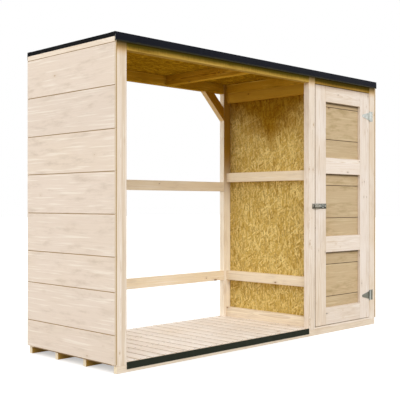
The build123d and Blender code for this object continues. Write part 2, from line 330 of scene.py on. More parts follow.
class Effects:
    """Shader node groups that several finishes share, each built once."""

    LOG_STEP = 83.0
    HEART_ASIDE = 0.12
    TAPER = 0.011
    COLLAR_LIFT = 0.0065
    SWAY = Grain(1.3, 7.0)
    STREAK = Grain(2.4, 60.0, 0.52, 0.78, detail=3.0, roughness=0.6)
    REGION = Grain(2.6, 13.0, detail=1.0)
    CLOUD = Grain(8.0, 31.0, 0.43, 0.72, detail=4.0, roughness=0.62)
    SILK = Grain(3.1, 85.0, 0.52, 0.68)
    FIBRE = Grain(14.0, 620.0, detail=1.0)
    STRAND_ANGLES = (24.0, -18.0, 6.0, -40.0, 15.0, 61.0, -7.0)

    @staticmethod
    @cache
    def timber_figure() -> Tree:
        """Growth rings, knots, streaks and fibre of a board cut from a softwood log.

        Returns:
            The shared node group.
        """
        w = Group("timber_figure", "ShaderNodeTree", {
            "Cut": "Vector", "Tone": 0.5, "Ring Width": 0.004, "Heart Depth": 0.05,
            "Sway": 0.02, "Knot Long": 0.14, "Knot Wide": 0.07, "Knot Share": 0.4})
        tone, wide = w.given["Tone"], w.given["Knot Wide"]
        x, y, z = w.split(w.given["Cut"])
        x = w.scaled(tone, Effects.LOG_STEP, x)
        aside = w.scaled(w.shuffled(tone, 7.31), Effects.HEART_ASIDE, -Effects.HEART_ASIDE / 2)
        y_log = w.math("ADD", y, aside)
        depth = w.times(w.given["Heart Depth"], w.scaled(w.shuffled(tone, 3.77), 0.9, 0.55))
        z_log = w.math("ADD", z, depth)
        place = (x, y_log, z_log)

        knots = w.cells(w.combine(w.math("DIVIDE", x, w.given["Knot Long"]),
                                  w.math("DIVIDE", w.scaled(tone, 5.0, y), wide),
                                  w.math("DIVIDE", z, wide)))
        chance, size, _ = w.split(knots["Color"])
        present = w.math("LESS_THAN", chance, w.given["Knot Share"])
        reach = w.scaled(size, 0.09, 0.035)
        knot = w.times(w.smooth(knots["Distance"], reach, w.scaled(reach, 0.75)), present)
        collar = w.times(w.smooth(knots["Distance"], w.scaled(reach, 3.6), reach), present)

        sway = w.times(w.scaled(Effects.SWAY.value(w, place), 2.0, -1.0), w.given["Sway"])
        radius = w.math("SQRT", w.math("ADD", w.times(y_log, y_log), w.times(z_log, z_log)))
        radius = w.math("ADD", w.scaled(x, Effects.TAPER, radius), sway)
        radius = w.scaled(collar, Effects.COLLAR_LIFT, radius)
        turn = w.math("FRACT", w.math("DIVIDE", radius, w.given["Ring Width"]))
        late = w.times(w.smooth(turn, 0.35, 0.9), w.smooth(turn, 1.0, 0.93))
        years = w.add("ShaderNodeTexNoise", {"W": w.scaled(radius, 62.0), "Detail": 2.0},
                      noise_dimensions="1D").outputs["Fac"]

        region = Effects.REGION.value(w, place)
        fibre = Effects.FIBRE.value(w, place)
        height = w.scaled(knot, 0.5, w.scaled(late, 0.35, w.scaled(fibre, 0.55)))
        return w.end({
            "Ring": late, "Band": w.smooth(years, 0.42, 0.72),
            "Streak": Effects.STREAK.mask(w, place),
            "Cloud": w.times(Effects.CLOUD.mask(w, place), w.smooth(region, 0.40, 0.62)),
            "Silk": w.times(Effects.SILK.mask(w, place), w.smooth(region, 0.66, 0.44)),
            "Fibre": fibre, "Knot": knot, "Collar": collar, "Height": height})

    @staticmethod
    @cache
    def board_edges() -> Tree:
        """Masks of a board's sawn ends, its arrises, its two narrow sides and its back edge.

        Returns:
            The shared node group.
        """
        w = Group("board_edges", "ShaderNodeTree",
                  {"Cut": "Vector", "Half": "Vector", "Arris": 0.004})
        cut, half = w.given["Cut"], w.given["Half"]
        x, y, z = w.split(w.vector("SUBTRACT", half, w.vector("ABSOLUTE", cut)))
        rough = w.noise(cut, scale=40.0, detail=3.0)
        spread = w.times(w.given["Arris"], w.scaled(rough, 1.6, 0.2))
        behind = w.math("ADD", w.split(cut)[2], w.split(half)[2])
        return w.end({"End": w.smooth(x, 0.0012, 0.0002),
                      "Arris": w.smooth(w.math("MAXIMUM", y, z), spread, 0.0),
                      "Side": w.smooth(y, 0.0022, 0.0004),
                      "Back": w.smooth(behind, 0.0085, 0.0032)})

    @staticmethod
    @cache
    def mottle() -> Tree:
        """Broad uneven patches and fine speckle, for any surface.

        Returns:
            The shared node group.
        """
        w = Group("mottle", "ShaderNodeTree", {"Vector": "Vector", "Patch": 4.0, "Speck": 400.0})
        patch, speck = (w.noise(w.given["Vector"], detail, scale=w.given[key])
                        for key, detail in (("Patch", 4.0), ("Speck", 2.0)))
        return w.end({"Patch": w.smooth(patch, 0.3, 0.7), "Speck": speck})

    @staticmethod
    @cache
    def strand_layers() -> Tree:
        """Flat strands pressed over each other at several angles, as in strand board.

        The board's face is the XY plane of the vector that it is given.

        Returns:
            The shared node group.
        """
        w = Group("strand_layers", "ShaderNodeTree",
                  {"Vector": "Vector", "Strand Long": 0.052, "Strand Wide": 0.0105})
        kept: list[object] = [0.5, 0.0, 0.0, 0.5, 0.0]
        for number, angle in enumerate(Effects.STRAND_ANGLES):
            turned = w.add("ShaderNodeVectorRotate",
                           {"Vector": w.given["Vector"], "Angle": math.radians(angle)},
                           rotation_type="Z_AXIS").outputs[0]
            x, y, _ = w.split(turned)
            y = w.scaled(w.noise(turned, scale=17.0, detail=1.0), 0.006, y)
            along = w.scaled(w.math("DIVIDE", x, w.given["Strand Long"]), 1.0, number * 3.7)
            flake = w.combine(along, w.math("DIVIDE", y, w.given["Strand Wide"]), 0.0)
            picked = w.cells(flake, dimensions="2D", randomness=0.9)
            border = w.cells(flake, "DISTANCE_TO_EDGE", "2D", 0.9)["Distance"]
            chance, tint, lift = w.split(picked["Color"])
            on_top = 1.0 if number == 0 else w.math("GREATER_THAN", chance, 0.7)
            dark = w.math("GREATER_THAN", w.shuffled(lift, 9.7), 0.84)
            lines = w.combine(w.scaled(x, 30.0), w.scaled(y, 520.0), number * 3.0)
            over = (tint, dark, w.smooth(border, 0.16, 0.0), w.noise(lines), lift)
            kept = [w.scaled(w.math("SUBTRACT", upper, under), on_top, under)
                    for under, upper in zip(kept, over)]
        shade, dark, rim, grain, lift = kept
        height = w.scaled(rim, -0.6, w.scaled(grain, 0.3, lift))
        return w.end({"Shade": shade, "Dark": dark, "Rim": rim, "Grain": grain, "Height": height})


@dataclass(frozen=True)
class Skin:
    """What a finish works out for its shader. The last two say how strong the bump is."""

    colour: Socket
    roughness: Socket
    height: Socket
    strength: float
    distance: float


@dataclass(frozen=True)
class Finish:
    """What every finish has: a name, its gloss, and one material made from it."""

    name: str
    gloss: float = 0.5
    metallic: float = 0.0

    def material(self) -> bpy.types.Material:
        """Builds the finish's material, unless it is there already.

        Returns:
            The material.
        """
        found = bpy.data.materials.get(self.name)
        if found:
            return found
        made = bpy.data.materials.new(self.name)
        made.use_nodes = True
        w = Wiring(made.node_tree)
        inputs = made.node_tree.nodes["Principled BSDF"].inputs
        skin = self.paint(w)
        bump = w.add("ShaderNodeBump", {"Strength": skin.strength, "Distance": skin.distance,
                                        "Height": skin.height})
        for key, value in (("Base Color", skin.colour), ("Roughness", skin.roughness),
                           ("Normal", bump.outputs[0]), ("Metallic", self.metallic),
                           ("Specular IOR Level", self.gloss)):
            w.feed(inputs[key], value)
        return made

    def paint(self, w: Wiring) -> Skin:
        """Works out colour, roughness and bump."""
        raise NotImplementedError


@dataclass(frozen=True)
class Timber(Finish):
    """Bare softwood, planed or sawn, with the colours of one use in the building.

    Shade is painted in: a golden tint stands in for the shade that the roof or the walls cast,
    more so from "glow_low" to "glow_high" along one axis, on the front face alone where
    "glow_front" is set. A painted shadow darkens the wood below the roof's edge ("eaves"), and
    painted shade darkens it below the heights in "under". Where the heartwood shows, it runs along
    the board as a darker band.
    """

    early: Colour = (240, 227, 213)
    late: Colour = (212, 189, 160)
    streak: Colour = (208, 184, 156)
    sap: Colour = (240, 222, 200)
    end: Colour = (214, 192, 156)
    knot: Colour = (136, 100, 68)
    edge: Colour = (212, 190, 160)
    # Dark joints, and painted shade in the gap on the door's left stile.
    seam: Colour = (104, 76, 40)
    # Painted shade on the narrow sides, in the gaps between boards.
    side: Colour = (150, 118, 74)
    # The next four colours are painted shade: the golden tint, the dark and the warm parts of the
    # shadow below the roof's edge, and the shadow below the door's rails.
    golden: Colour = (188, 134, 36)
    eaves_shadow: Colour = (72, 58, 10)
    amber: Colour = (222, 186, 104)
    rail_shadow: Colour = (58, 40, 8)
    light: Colour = (250, 242, 232)
    dull: Colour = (204, 184, 164)
    gloss: float = 0.25
    cloud_share: float = 0.35
    silk_share: float = 0.4
    ring_width: float = 0.0042
    heart_depth: float = 0.05
    sway: float = 0.02
    ring_share: float = 0.42
    band_share: float = 0.42
    streak_share: float = 0.4
    edge_share: float = 0.35
    end_share: float = 0.75
    gap_shade_share: float = 0.0
    seam_share: float = 0.9
    # Painted shadow on the inner part of a board's end, where it meets the post.
    end_shadow_share: float = 0.0
    glow_share: float = 0.0
    glow_low: float = 1.2
    glow_high: float = 1.75
    glow_axis: int = 2
    glow_front: bool = False
    eaves_share: float = 0.0
    eaves_low: float = 1.788
    eaves_high: float = 1.814
    under: tuple[float, ...] = ()
    heart_at: float = 0.0
    heart_wide: float = 0.0
    knot_long: float = 0.14
    knot_wide: float = 0.07
    knot_share: float = 0.35
    roughness: float = 0.68
    bump: float = 0.35

    def paint(self, w: Wiring) -> Skin:
        """Works out rings, knots, ends, joints and the painted shade.

        Args:
            w: the material's wiring.

        Returns:
            What goes into the shader.
        """
        cut, half = w.attribute("cut", "Vector"), w.attribute("half", "Vector")
        tone = w.attribute("tone")
        place = w.place()
        figure = w.effect(Effects.timber_figure(), {
            "Cut": cut, "Tone": tone, "Ring Width": self.ring_width,
            "Heart Depth": self.heart_depth, "Sway": self.sway, "Knot Long": self.knot_long,
            "Knot Wide": self.knot_wide, "Knot Share": self.knot_share})
        edges = w.effect(Effects.board_edges(), {"Cut": cut, "Half": half})
        mottle = w.effect(Effects.mottle(), {"Vector": place, "Patch": 2.6})

        warm = w.times(mottle["Patch"], w.shuffled(tone, 13.1))
        strength = w.scaled(mottle["Patch"], 0.5, 0.6)
        whole = w.math("SUBTRACT", 1.0, edges["End"])
        seam = w.times(w.smooth(w.attribute("seam"), 0.0, 0.55), whole)
        layers = [
            (w.scaled(warm, 0.8), self.sap),
            (w.times(w.scaled(figure["Ring"], self.ring_share), strength), self.late),
            (w.times(w.scaled(figure["Band"], self.band_share), strength), self.late),
            (w.scaled(figure["Streak"], self.streak_share), self.streak),
            (w.scaled(figure["Cloud"], self.cloud_share), self.dull),
            (w.scaled(figure["Silk"], self.silk_share), self.light),
            # Arris tint: paler than the wood on the cladding, the joists and the headers, a painted
            # highlight; darker on the deck, painted shade in its gaps; elsewhere darker along the
            # arrises.
            (w.scaled(edges["Arris"], self.edge_share), self.edge),
            (w.scaled(figure["Collar"], 0.3), self.streak),
            (w.scaled(figure["Knot"], 0.85), self.knot),
            # Painted shade in the gaps.
            (w.scaled(edges["Side"], self.gap_shade_share), self.side),
            (w.scaled(edges["End"], self.end_share), self.end),
            # Painted shadow on the end where it meets the post.
            (w.scaled(w.times(edges["End"], edges["Back"]), self.end_shadow_share), self.seam),
            # Dark joints, and painted shade in the door's gap.
            (w.scaled(seam, self.seam_share), self.seam)]
        if self.heart_wide:
            off = w.math("ABSOLUTE", w.math("SUBTRACT", w.split(cut)[1], self.heart_at))
            off = w.scaled(mottle["Patch"], 0.004, off)
            heart = w.smooth(off, self.heart_wide, self.heart_wide * 0.6)
            layers.insert(1, (w.scaled(heart, 0.4), self.late))
        colour = w.layered(linear(self.early), layers)
        colour = self.painted_shade(w, colour, place, mottle["Patch"])
        value = w.scaled(figure["Fibre"], 0.10, w.scaled(tone, 0.07, 0.915))
        hue = w.add("ShaderNodeHueSaturation", {"Value": value, "Color": colour})
        return Skin(hue.outputs[0], w.scaled(figure["Ring"], -0.10, self.roughness),
                    w.scaled(mottle["Speck"], 0.12, figure["Height"]), self.bump, 0.0006)

    def painted_shade(self, w: Wiring, colour: Socket, place: Socket, patch: Socket) -> Socket:
        """Paints shade: the golden tint, the shadow below the roof's edge and the shade below
        rails.

        Args:
            w: the material's wiring.
            colour: colour of the wood.
            place: Object coordinates.
            patch: broad uneven patches.

        Returns:
            The tinted colour.
        """
        parts = w.split(place)
        # Painted shade: a golden tint where the roof and the walls keep the light off.
        if self.glow_share:
            glow = w.smooth(parts[self.glow_axis], self.glow_low, self.glow_high)
            glow = w.scaled(glow, self.glow_share)
            if self.glow_front:
                facing = w.split(w.add("ShaderNodeTexCoord").outputs["Normal"])[1]
                glow = w.times(glow, w.smooth(facing, -0.3, -0.7))
            colour = w.blend(glow, colour, linear(self.golden), "MULTIPLY")
        # Painted shadow below the roof's edge: a warm tint, and a dark band nearest the edge.
        if self.eaves_share:
            ragged = w.noise(w.combine(w.scaled(parts[0], 90.0), 0.0, 0.0))
            level = w.math("ADD", w.scaled(patch, 0.004, parts[2]), w.scaled(ragged, 0.016, -0.008))
            warm = w.smooth(level, self.eaves_low - 0.028, self.eaves_high - 0.014)
            deep_eaves_shade = w.smooth(level, self.eaves_low, self.eaves_high)
            colour = w.blend(w.scaled(warm, self.eaves_share), colour, linear(self.amber),
                             "MULTIPLY")
            colour = w.blend(w.scaled(deep_eaves_shade, self.eaves_share), colour, linear(self.eaves_shadow))
        # Painted shade below each given height, where the door's rails shade the boards.
        for top in self.under:
            near = w.times(w.smooth(parts[2], top - 0.020, top - 0.004),
                           w.math("LESS_THAN", parts[2], top + 0.002))
            colour = w.blend(w.scaled(near, 0.8), colour, linear(self.rail_shadow))
        return colour


@dataclass(frozen=True)
class StrandBoard(Finish):
    """Strand board, its strands turned about X, Y and Z into the plane of the board."""

    gloss: float = 0.0
    turn: tuple[float, float, float] = (0.0, 0.0, 0.0)
    pale: Colour = (244, 220, 146)
    deep: Colour = (208, 174, 92)
    dark: Colour = (150, 112, 40)
    rim: Colour = (124, 92, 28)
    # Painted shade: the golden tint.
    golden: Colour = (186, 158, 50)
    glow_share: float = 0.0
    glow_low: float = 1.26
    glow_high: float = 1.56
    open_ends: float = 0.55

    def paint(self, w: Wiring) -> Skin:
        """Works out the strands, with a golden tint painted in as shade where the roof and the
        middle keep the light off.

        Args:
            w: the material's wiring.

        Returns:
            What goes into the shader.
        """
        place = w.place()
        turned = w.add("ShaderNodeMapping", {
            "Vector": place, "Rotation": [math.radians(angle) for angle in self.turn]})
        strands = w.effect(Effects.strand_layers(), {"Vector": turned.outputs[0]})
        mottle = w.effect(Effects.mottle(), {"Vector": place, "Patch": 9.0, "Speck": 70.0})
        colour = w.blend(w.smooth(strands["Shade"], 0.1, 0.9), linear(self.deep),
                         linear(self.pale))
        colour = w.layered(colour, (
            (w.scaled(strands["Dark"], 0.55), self.dark),
            (w.scaled(mottle["Patch"], 0.4), self.deep),
            (w.scaled(w.smooth(mottle["Speck"], 0.45, 0.7), 0.4), self.rim),
            (w.scaled(w.smooth(strands["Grain"], 0.4, 0.75), 0.2), self.rim),
            (w.scaled(strands["Rim"], 0.22), self.rim)))
        # Painted shade: golden towards the top, less so towards the open front and back.
        if self.glow_share:
            _, y, z = w.split(place)
            drift = w.scaled(w.noise(place, scale=4.5), 0.3, -0.15)
            level = w.math("ADD", w.scaled(w.math("ABSOLUTE", y), -self.open_ends, z), drift)
            glow = w.scaled(w.smooth(level, self.glow_low, self.glow_high), self.glow_share)
            colour = w.blend(glow, colour, linear(self.golden), "MULTIPLY")
        return Skin(colour, w.scaled(strands["Shade"], 0.18, 0.55), strands["Height"], 0.5, 0.0008)


@dataclass(frozen=True)
class CoatedSheet(Finish):
    """Folded metal sheet or strip with a matt dark coat, paler and more olive below "hem_top"."""

    gloss: float = 0.1
    coat: Colour = (9, 12, 23)
    dust: Colour = (36, 40, 50)
    roughness: float = 0.5
    hem: Colour = (50, 47, 30)
    hem_top: float = 0.0

    def paint(self, w: Wiring) -> Skin:
        """Works out the coat, its dust and its slight orange peel.

        Args:
            w: the material's wiring.

        Returns:
            What goes into the shader.
        """
        place = w.place()
        mottle = w.effect(Effects.mottle(), {"Vector": place, "Patch": 5.0, "Speck": 900.0})
        parts = w.split(place)
        run = w.noise(w.stretched(parts, 40.0, 40.0, 3.0))
        dust = w.times(w.smooth(run, 0.45, 0.8), mottle["Patch"])
        colour = w.blend(w.scaled(dust, 0.3), linear(self.coat), linear(self.dust))
        if self.hem_top:
            level = w.math("ADD", parts[2], w.scaled(run, 0.012, -0.006))
            olive_foot = w.smooth(level, self.hem_top, self.hem_top - 0.010)
            colour = w.blend(olive_foot, colour, linear(self.hem))
        roughness = w.scaled(mottle["Patch"], 0.14, self.roughness)
        return Skin(colour, roughness, mottle["Speck"], 0.15, 0.0003)


@dataclass(frozen=True)
class MineralFelt(Finish):
    """Bituminous felt with crushed slate pressed into its top."""

    slate: Colour = (70, 73, 78)
    tar: Colour = (28, 28, 30)

    def paint(self, w: Wiring) -> Skin:
        """Works out the granules.

        Args:
            w: the material's wiring.

        Returns:
            What goes into the shader.
        """
        place = w.place()
        mottle = w.effect(Effects.mottle(), {"Vector": place, "Patch": 3.0, "Speck": 260.0})
        grit = w.cells(place, scale=520.0)
        tint = w.split(grit["Color"])[0]
        colour = w.blend(w.smooth(tint, 0.15, 0.95), linear(self.tar), linear(self.slate))
        colour = w.blend(w.scaled(mottle["Patch"], 0.3), colour, linear(self.tar))
        return Skin(colour, w.scaled(tint, 0.12, 0.82), w.scaled(grit["Distance"], -1.0, 1.0),
                    0.8, 0.001)


@dataclass(frozen=True)
class ZincPlate(Finish):
    """Zinc-plated steel with a faint spangle and scratches.

    Below a height it is painted darker, as painted shade and a painted reflection of the dark
    ground. The knuckles round the hinge pin are left out of it and stay bright, a painted
    highlight.
    """

    metallic: float = 1.0
    bright: Colour = (222, 224, 218)
    dull: Colour = (150, 154, 146)
    # Painted shade and painted reflection of the ground, below a height.
    painted_dark: Colour = (98, 98, 84)
    roughness: float = 0.34
    dark_top: float = 0.55
    dark_blur: float = 0.2
    pin: float = 1.199

    def paint(self, w: Wiring) -> Skin:
        """Works out the spangle, the painted darkening below a height and the scratches.

        Args:
            w: the material's wiring.

        Returns:
            What goes into the shader.
        """
        place = w.place()
        mottle = w.effect(Effects.mottle(), {"Vector": place, "Patch": 60.0, "Speck": 1500.0})
        tint = w.split(w.cells(place, scale=260.0)["Color"])[0]
        parts = w.split(place)
        scratch = w.noise(w.stretched(parts, 60.0, 60.0, 2600.0))
        share = w.scaled(tint, 0.25, w.scaled(mottle["Patch"], 0.45))
        # Painted shade and reflection: darker below a height, but not at the knuckles round the
        # pin.
        off = w.math("ABSOLUTE", w.math("SUBTRACT", parts[0], self.pin))
        dark_below = w.times(w.smooth(parts[2], self.dark_top, self.dark_top - self.dark_blur),
                         w.smooth(off, 0.0035, 0.0055))
        colour = w.layered(linear(self.bright), (
            (share, self.dull), (w.scaled(dark_below, 0.85), self.painted_dark)))
        roughness = w.scaled(tint, 0.10, w.scaled(scratch, 0.16, self.roughness))
        return Skin(colour, roughness, w.math("ADD", scratch, mottle["Speck"]), 0.15, 0.0002)


def recess_tops() -> tuple[float, ...]:
    """Heights of the upper edges of the door's recesses: the feet of all but its lowest rail."""
    levels = sorted({round(vert.co.z, 4) for vert in frame["nodes"]["door_rails"].data.vertices})
    return tuple(levels[2::2])


# Painted shadow on the posts' tops, below the roof's edge.
FRONT_POST = Timber("front_post_spruce", early=(251, 241, 232), late=(208, 184, 150),
                    heart_depth=0.03, knot_share=0.8, knot=(190, 156, 112), band_share=0.6,
                    ring_share=0.3, eaves_share=0.9, eaves_low=1.764, eaves_high=1.820,
                    silk_share=0.6, knot_wide=0.045, knot_long=0.11)
# Painted shade: the back posts' front faces, the inner rails and the braces turn golden towards the
# top.
HOLLOW_POST = Timber("inner_post_spruce", early=(255, 247, 233), sap=(250, 236, 212),
                     heart_depth=0.03, knot_share=0.5, glow_share=0.97, glow_low=0.85,
                     glow_high=1.35, glow_front=True, golden=(168, 130, 26), gloss=0.0)
SHADED_RAIL = replace(HOLLOW_POST, name="inner_rail_spruce", early=(246, 231, 206),
                      sap=(244, 226, 192), glow_low=1.2, glow_high=1.6, glow_front=False,
                      golden=(216, 178, 54))
BRACE = replace(HOLLOW_POST, name="brace_spruce", early=(240, 208, 152), sap=(232, 196, 136),
                glow_low=1.3, glow_high=1.6, golden=(190, 154, 28))
# The roof timbers, the joists and the headers are the same spruce as the posts, in darker golden
# colours: painted shade under the roof. The headers also carry the painted shadow below the roof's
# edge.
ROOF_TIMBER = Timber("roof_spruce", early=(206, 164, 48), late=(160, 114, 20),
                     sap=(194, 148, 34), streak=(150, 106, 16), edge=(212, 174, 72),
                     end=(176, 134, 40), light=(232, 192, 80), dull=(146, 104, 16),
                     heart_depth=0.03, knot_share=0.5, gloss=0.0, ring_share=0.6,
                     cloud_share=0.7, silk_share=0.7)
JOIST = replace(ROOF_TIMBER, name="joist_spruce", early=(232, 184, 60), late=(162, 110, 18),
                sap=(216, 172, 44), streak=(172, 128, 24), edge=(236, 198, 90),
                end=(196, 154, 50), light=(252, 216, 104), dull=(168, 124, 24),
                ring_share=0.8, sway=0.035)
# Painted shade: golden towards the back, paler towards the open front.
MIDDLE_JOIST = replace(JOIST, name="middle_joist_spruce", glow_share=0.9, glow_axis=1,
                       glow_low=-0.15, glow_high=0.4, golden=(202, 194, 140))
HEADER = Timber("header_spruce", early=(204, 178, 104), late=(172, 144, 66),
                sap=(198, 168, 90), streak=(158, 130, 54), edge=(222, 198, 128),
                light=(222, 198, 126), dull=(156, 128, 58), eaves_shadow=(74, 64, 14), gloss=0.0,
                cloud_share=0.8, heart_depth=0.03, eaves_share=0.96, eaves_low=1.783,
                eaves_high=1.811, amber=(236, 218, 172))
DOOR_HEADER = Timber("door_header_spruce", early=(198, 182, 138), late=(168, 148, 98),
                     sap=(192, 172, 124), streak=(160, 138, 86), edge=(200, 184, 142),
                     light=(210, 194, 154), dull=(162, 142, 90), eaves_shadow=(64, 53, 13), gloss=0.0,
                     heart_depth=0.03, eaves_share=0.97, eaves_low=1.777, eaves_high=1.805)
FINISH_OF_SLOT: dict[str, Finish] = {
    # Painted highlight on the arrises, and painted shadow on the board ends by the posts.
    "cladding_wood": Timber("cladding_spruce", early=(229, 215, 203), sap=(229, 214, 198),
                            late=(212, 195, 176), streak=(208, 191, 172), end=(223, 206, 182),
                            edge=(240, 225, 200), edge_share=0.6, seam=(164, 128, 60),
                            seam_share=0.88, end_shadow_share=0.9, ring_share=0.12, band_share=0.2,
                            streak_share=0.25, end_share=0.7, cloud_share=0.6, silk_share=0.6,
                            light=(246, 238, 228), dull=(200, 184, 168), knot_share=0.06,
                            knot=(190, 164, 134)),
    "trim_wood": Timber("trim_spruce", ring_width=0.003, band_share=0.25,
                        seam=(150, 114, 50), knot_share=0.0),
    "post_wood": FRONT_POST,
    "rail_wood": SHADED_RAIL,
    "roof_wood": ROOF_TIMBER,
    # Painted shade in the gaps: darker sides and arrises on the slats.
    "deck_wood": Timber("deck_spruce", early=(252, 243, 234), sap=(248, 234, 218),
                        heart_depth=0.06, gap_shade_share=0.85, edge_share=0.5, edge=(186, 158, 122),
                        knot_share=0.45, band_share=0.3, ring_share=0.3),
    # Painted shade: the bearers behind the front one are golden on their front faces.
    "bearer_wood": Timber("bearer_spruce", early=(238, 226, 210), sap=(232, 216, 192),
                          end=(240, 226, 198), end_share=0.9, glow_share=0.95, glow_low=-0.424,
                          glow_high=-0.38, glow_axis=1, glow_front=True, golden=(200, 166, 70)),
    # Painted shade: below the roof's edge, on the narrow sides, and in the gap on the left stile's
    # outer side.
    "door_wood": Timber("door_spruce", early=(247, 238, 232), heart_depth=0.03, knot_share=0.75,
                        seam=(128, 96, 64), seam_share=0.75, band_share=0.4, gap_shade_share=0.15,
                        knot=(150, 142, 134), knot_wide=0.045, knot_long=0.11,
                        amber=(202, 186, 168), eaves_share=0.9, eaves_low=1.755,
                        eaves_high=1.808),
    # Painted shade below each rail.
    "door_board_wood": Timber("door_board_spruce", early=(206, 184, 149), sap=(206, 180, 142),
                              late=(172, 144, 104), streak=(162, 134, 94), seam=(58, 34, 4),
                              light=(220, 202, 166), dull=(170, 148, 106), ring_share=0.22,
                              band_share=0.3, knot_share=0.2, cloud_share=0.8, silk_share=0.6,
                              under=recess_tops()),
    "roof_felt": MineralFelt("slated_felt"),
    "black_trim": CoatedSheet("black_coated_sheet", hem_top=1.832),
    "edge_strip": CoatedSheet("dark_edge_strip", coat=(36, 41, 32), dust=(70, 76, 62),
                              roughness=0.6),
    # Painted reflection of the ground on the lower hinge, and a painted highlight on the knuckles.
    "galvanised": ZincPlate("zinc_plate"),
}
# Painted shade on the lower half of the flap and the staple.
HASP_FLAP = ZincPlate("hasp_flap_zinc", bright=(182, 178, 166), dull=(104, 98, 86),
                      painted_dark=(92, 86, 70), dark_top=0.912, dark_blur=0.01)
CUT_EDGE = ZincPlate("bare_cut_edge", bright=(240, 240, 234), dull=(216, 216, 208))
FINISH_OF_NODE: dict[str, Finish] = {
    **{f"{side}_back_post": HOLLOW_POST for side in ("left", "middle", "right")},
    "left_front_post": replace(FRONT_POST, name="left_post_spruce", heart_at=-0.010,
                               heart_wide=0.016),
    "log_bay_header": HEADER,
    "door_header": DOOR_HEADER,
    "knee_braces": BRACE,
    "middle_joist": MIDDLE_JOIST,
    "partition_joist": JOIST,
    # Painted shade on the lower half of the base.
    "hasp_base": ZincPlate("hasp_base_zinc", bright=(142, 143, 135), dull=(76, 76, 68),
                           painted_dark=(66, 62, 52), dark_top=0.916, dark_blur=0.01),
    "hasp_flap": HASP_FLAP,
    "hasp_staple": HASP_FLAP,
    "roof_side_trims": CoatedSheet("black_side_sheet", coat=(12, 13, 15), dust=(26, 26, 28),
                                   gloss=0.02),
    # Darker golden colours than the partition's board: painted shade under the roof.
    "roof_board": StrandBoard("roof_board_strands", pale=(204, 160, 40), deep=(150, 110, 14),
                              dark=(104, 70, 4), rim=(86, 58, 4)),
    # Painted shade: golden towards its top, paler towards the open front and back.
    "partition_board": StrandBoard("partition_board_strands", turn=(0.0, 90.0, 0.0),
                                   glow_share=0.95),
}
SLOT_OF = {row["node"]: row["material_slot"] for row in frame["record"]["subparts"]}


def finish_of(node: str) -> bpy.types.Material:
    """Material of a node's own finish, or else of its slot's."""
    return (FINISH_OF_NODE.get(node) or FINISH_OF_SLOT[SLOT_OF[node]]).material()


def seeded(name: str) -> random.Random:
    """Random numbers that are the same in each run, for one piece's name."""
    return random.Random(sum(ord(letter) * (place + 7) for place, letter in enumerate(name)))


def new_piece(mesh: Mesh, material: bpy.types.Material) -> bpy.types.Object:
    """Links a new object with one mesh, whose name it takes, and one material.

    Args:
        mesh: the piece's mesh.
        material: its material.

    Returns:
        The new object.
    """
    piece = bpy.data.objects.new(mesh.name, mesh)
    mesh.materials.clear()
    mesh.materials.append(material)
    bpy.context.scene.collection.objects.link(piece)
    return piece


def mount(piece: bpy.types.Object, body: str, slot: str) -> None:
    """Puts a finished piece on the body that it moves with.

    Args:
        piece: the finished object.
        body: name of the body.
        slot: not used.
    """
    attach(piece, body)
    log.info("%s rides on %s with %d faces", piece.name, body, len(piece.data.polygons))


def stand_in(mesh: Mesh, node: str) -> None:
    """Puts a mesh in place of a CAD node, on its body and with its finish.

    Args:
        mesh: the mesh, which gives the piece its name.
        node: name of the node.
    """
    piece = new_piece(mesh, finish_of(node))
    mount(piece, frame["nodes"][node]["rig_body"], SLOT_OF[node])
    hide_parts(node)


def span(points: Iterable[Iterable[float]]) -> tuple[Vector, Vector]:
    """Lowest and highest corner of the box round some points."""
    parts = list(zip(*points))
    return Vector([min(part) for part in parts]), Vector([max(part) for part in parts])


def cad_shape(node: str) -> Shape:
    """Copy of a CAD node's mesh, with merged corners and whole flat faces.

    Args:
        node: name of the node.

    Returns:
        The shape, which as_mesh or the caller frees.
    """
    shape = bmesh.new()
    shape.from_mesh(frame["nodes"][node].data)
    bmesh.ops.remove_doubles(shape, verts=shape.verts, dist=MERGE)
    bmesh.ops.dissolve_limit(shape, angle_limit=FLAT, verts=shape.verts, edges=shape.edges)
    return shape


def solid_shape(solids: Iterable["Solid"]) -> Shape:
    """Shape of closed solids, whose faces point outwards.

    Args:
        solids: the solids.

    Returns:
        The shape, which as_mesh or the caller frees.
    """
    shape = bmesh.new()
    for solid in solids:
        verts = [shape.verts.new(point) for point in solid.points]
        for face in solid.faces:
            shape.faces.new([verts[number] for number in face])
    bmesh.ops.recalc_face_normals(shape, faces=shape.faces)
    return shape


def ease(shape: Shape, crease: float, reach: float, segments: int) -> None:
    """Rounds off each edge of a shape that is sharper than a crease.

    Args:
        shape: the shape.
        crease: angle in radians.
        reach: how far each edge is rounded off.
        segments: faces across each rounding.
    """
    sharp = [edge for edge in shape.edges if edge.calc_face_angle(0.0) > crease]
    bmesh.ops.bevel(shape, geom=sharp, offset=reach, segments=segments, profile=0.5,
                    affect="EDGES", clamp_overlap=True)


def as_mesh(shape: Shape, name: str, crease: float | None = None) -> Mesh:
    """Turns a shape into a mesh.

    Args:
        shape: the shape, which is freed.
        name: name of the mesh.
        crease: angle in radians above which an edge stays sharp, or None for flat faces.

    Returns:
        The mesh.
    """
    mesh = bpy.data.meshes.new(name)
    shape.to_mesh(mesh)
    shape.free()
    if crease is not None:
        mesh.shade_smooth()
        mesh.set_sharp_from_angle(angle=crease)
    return mesh


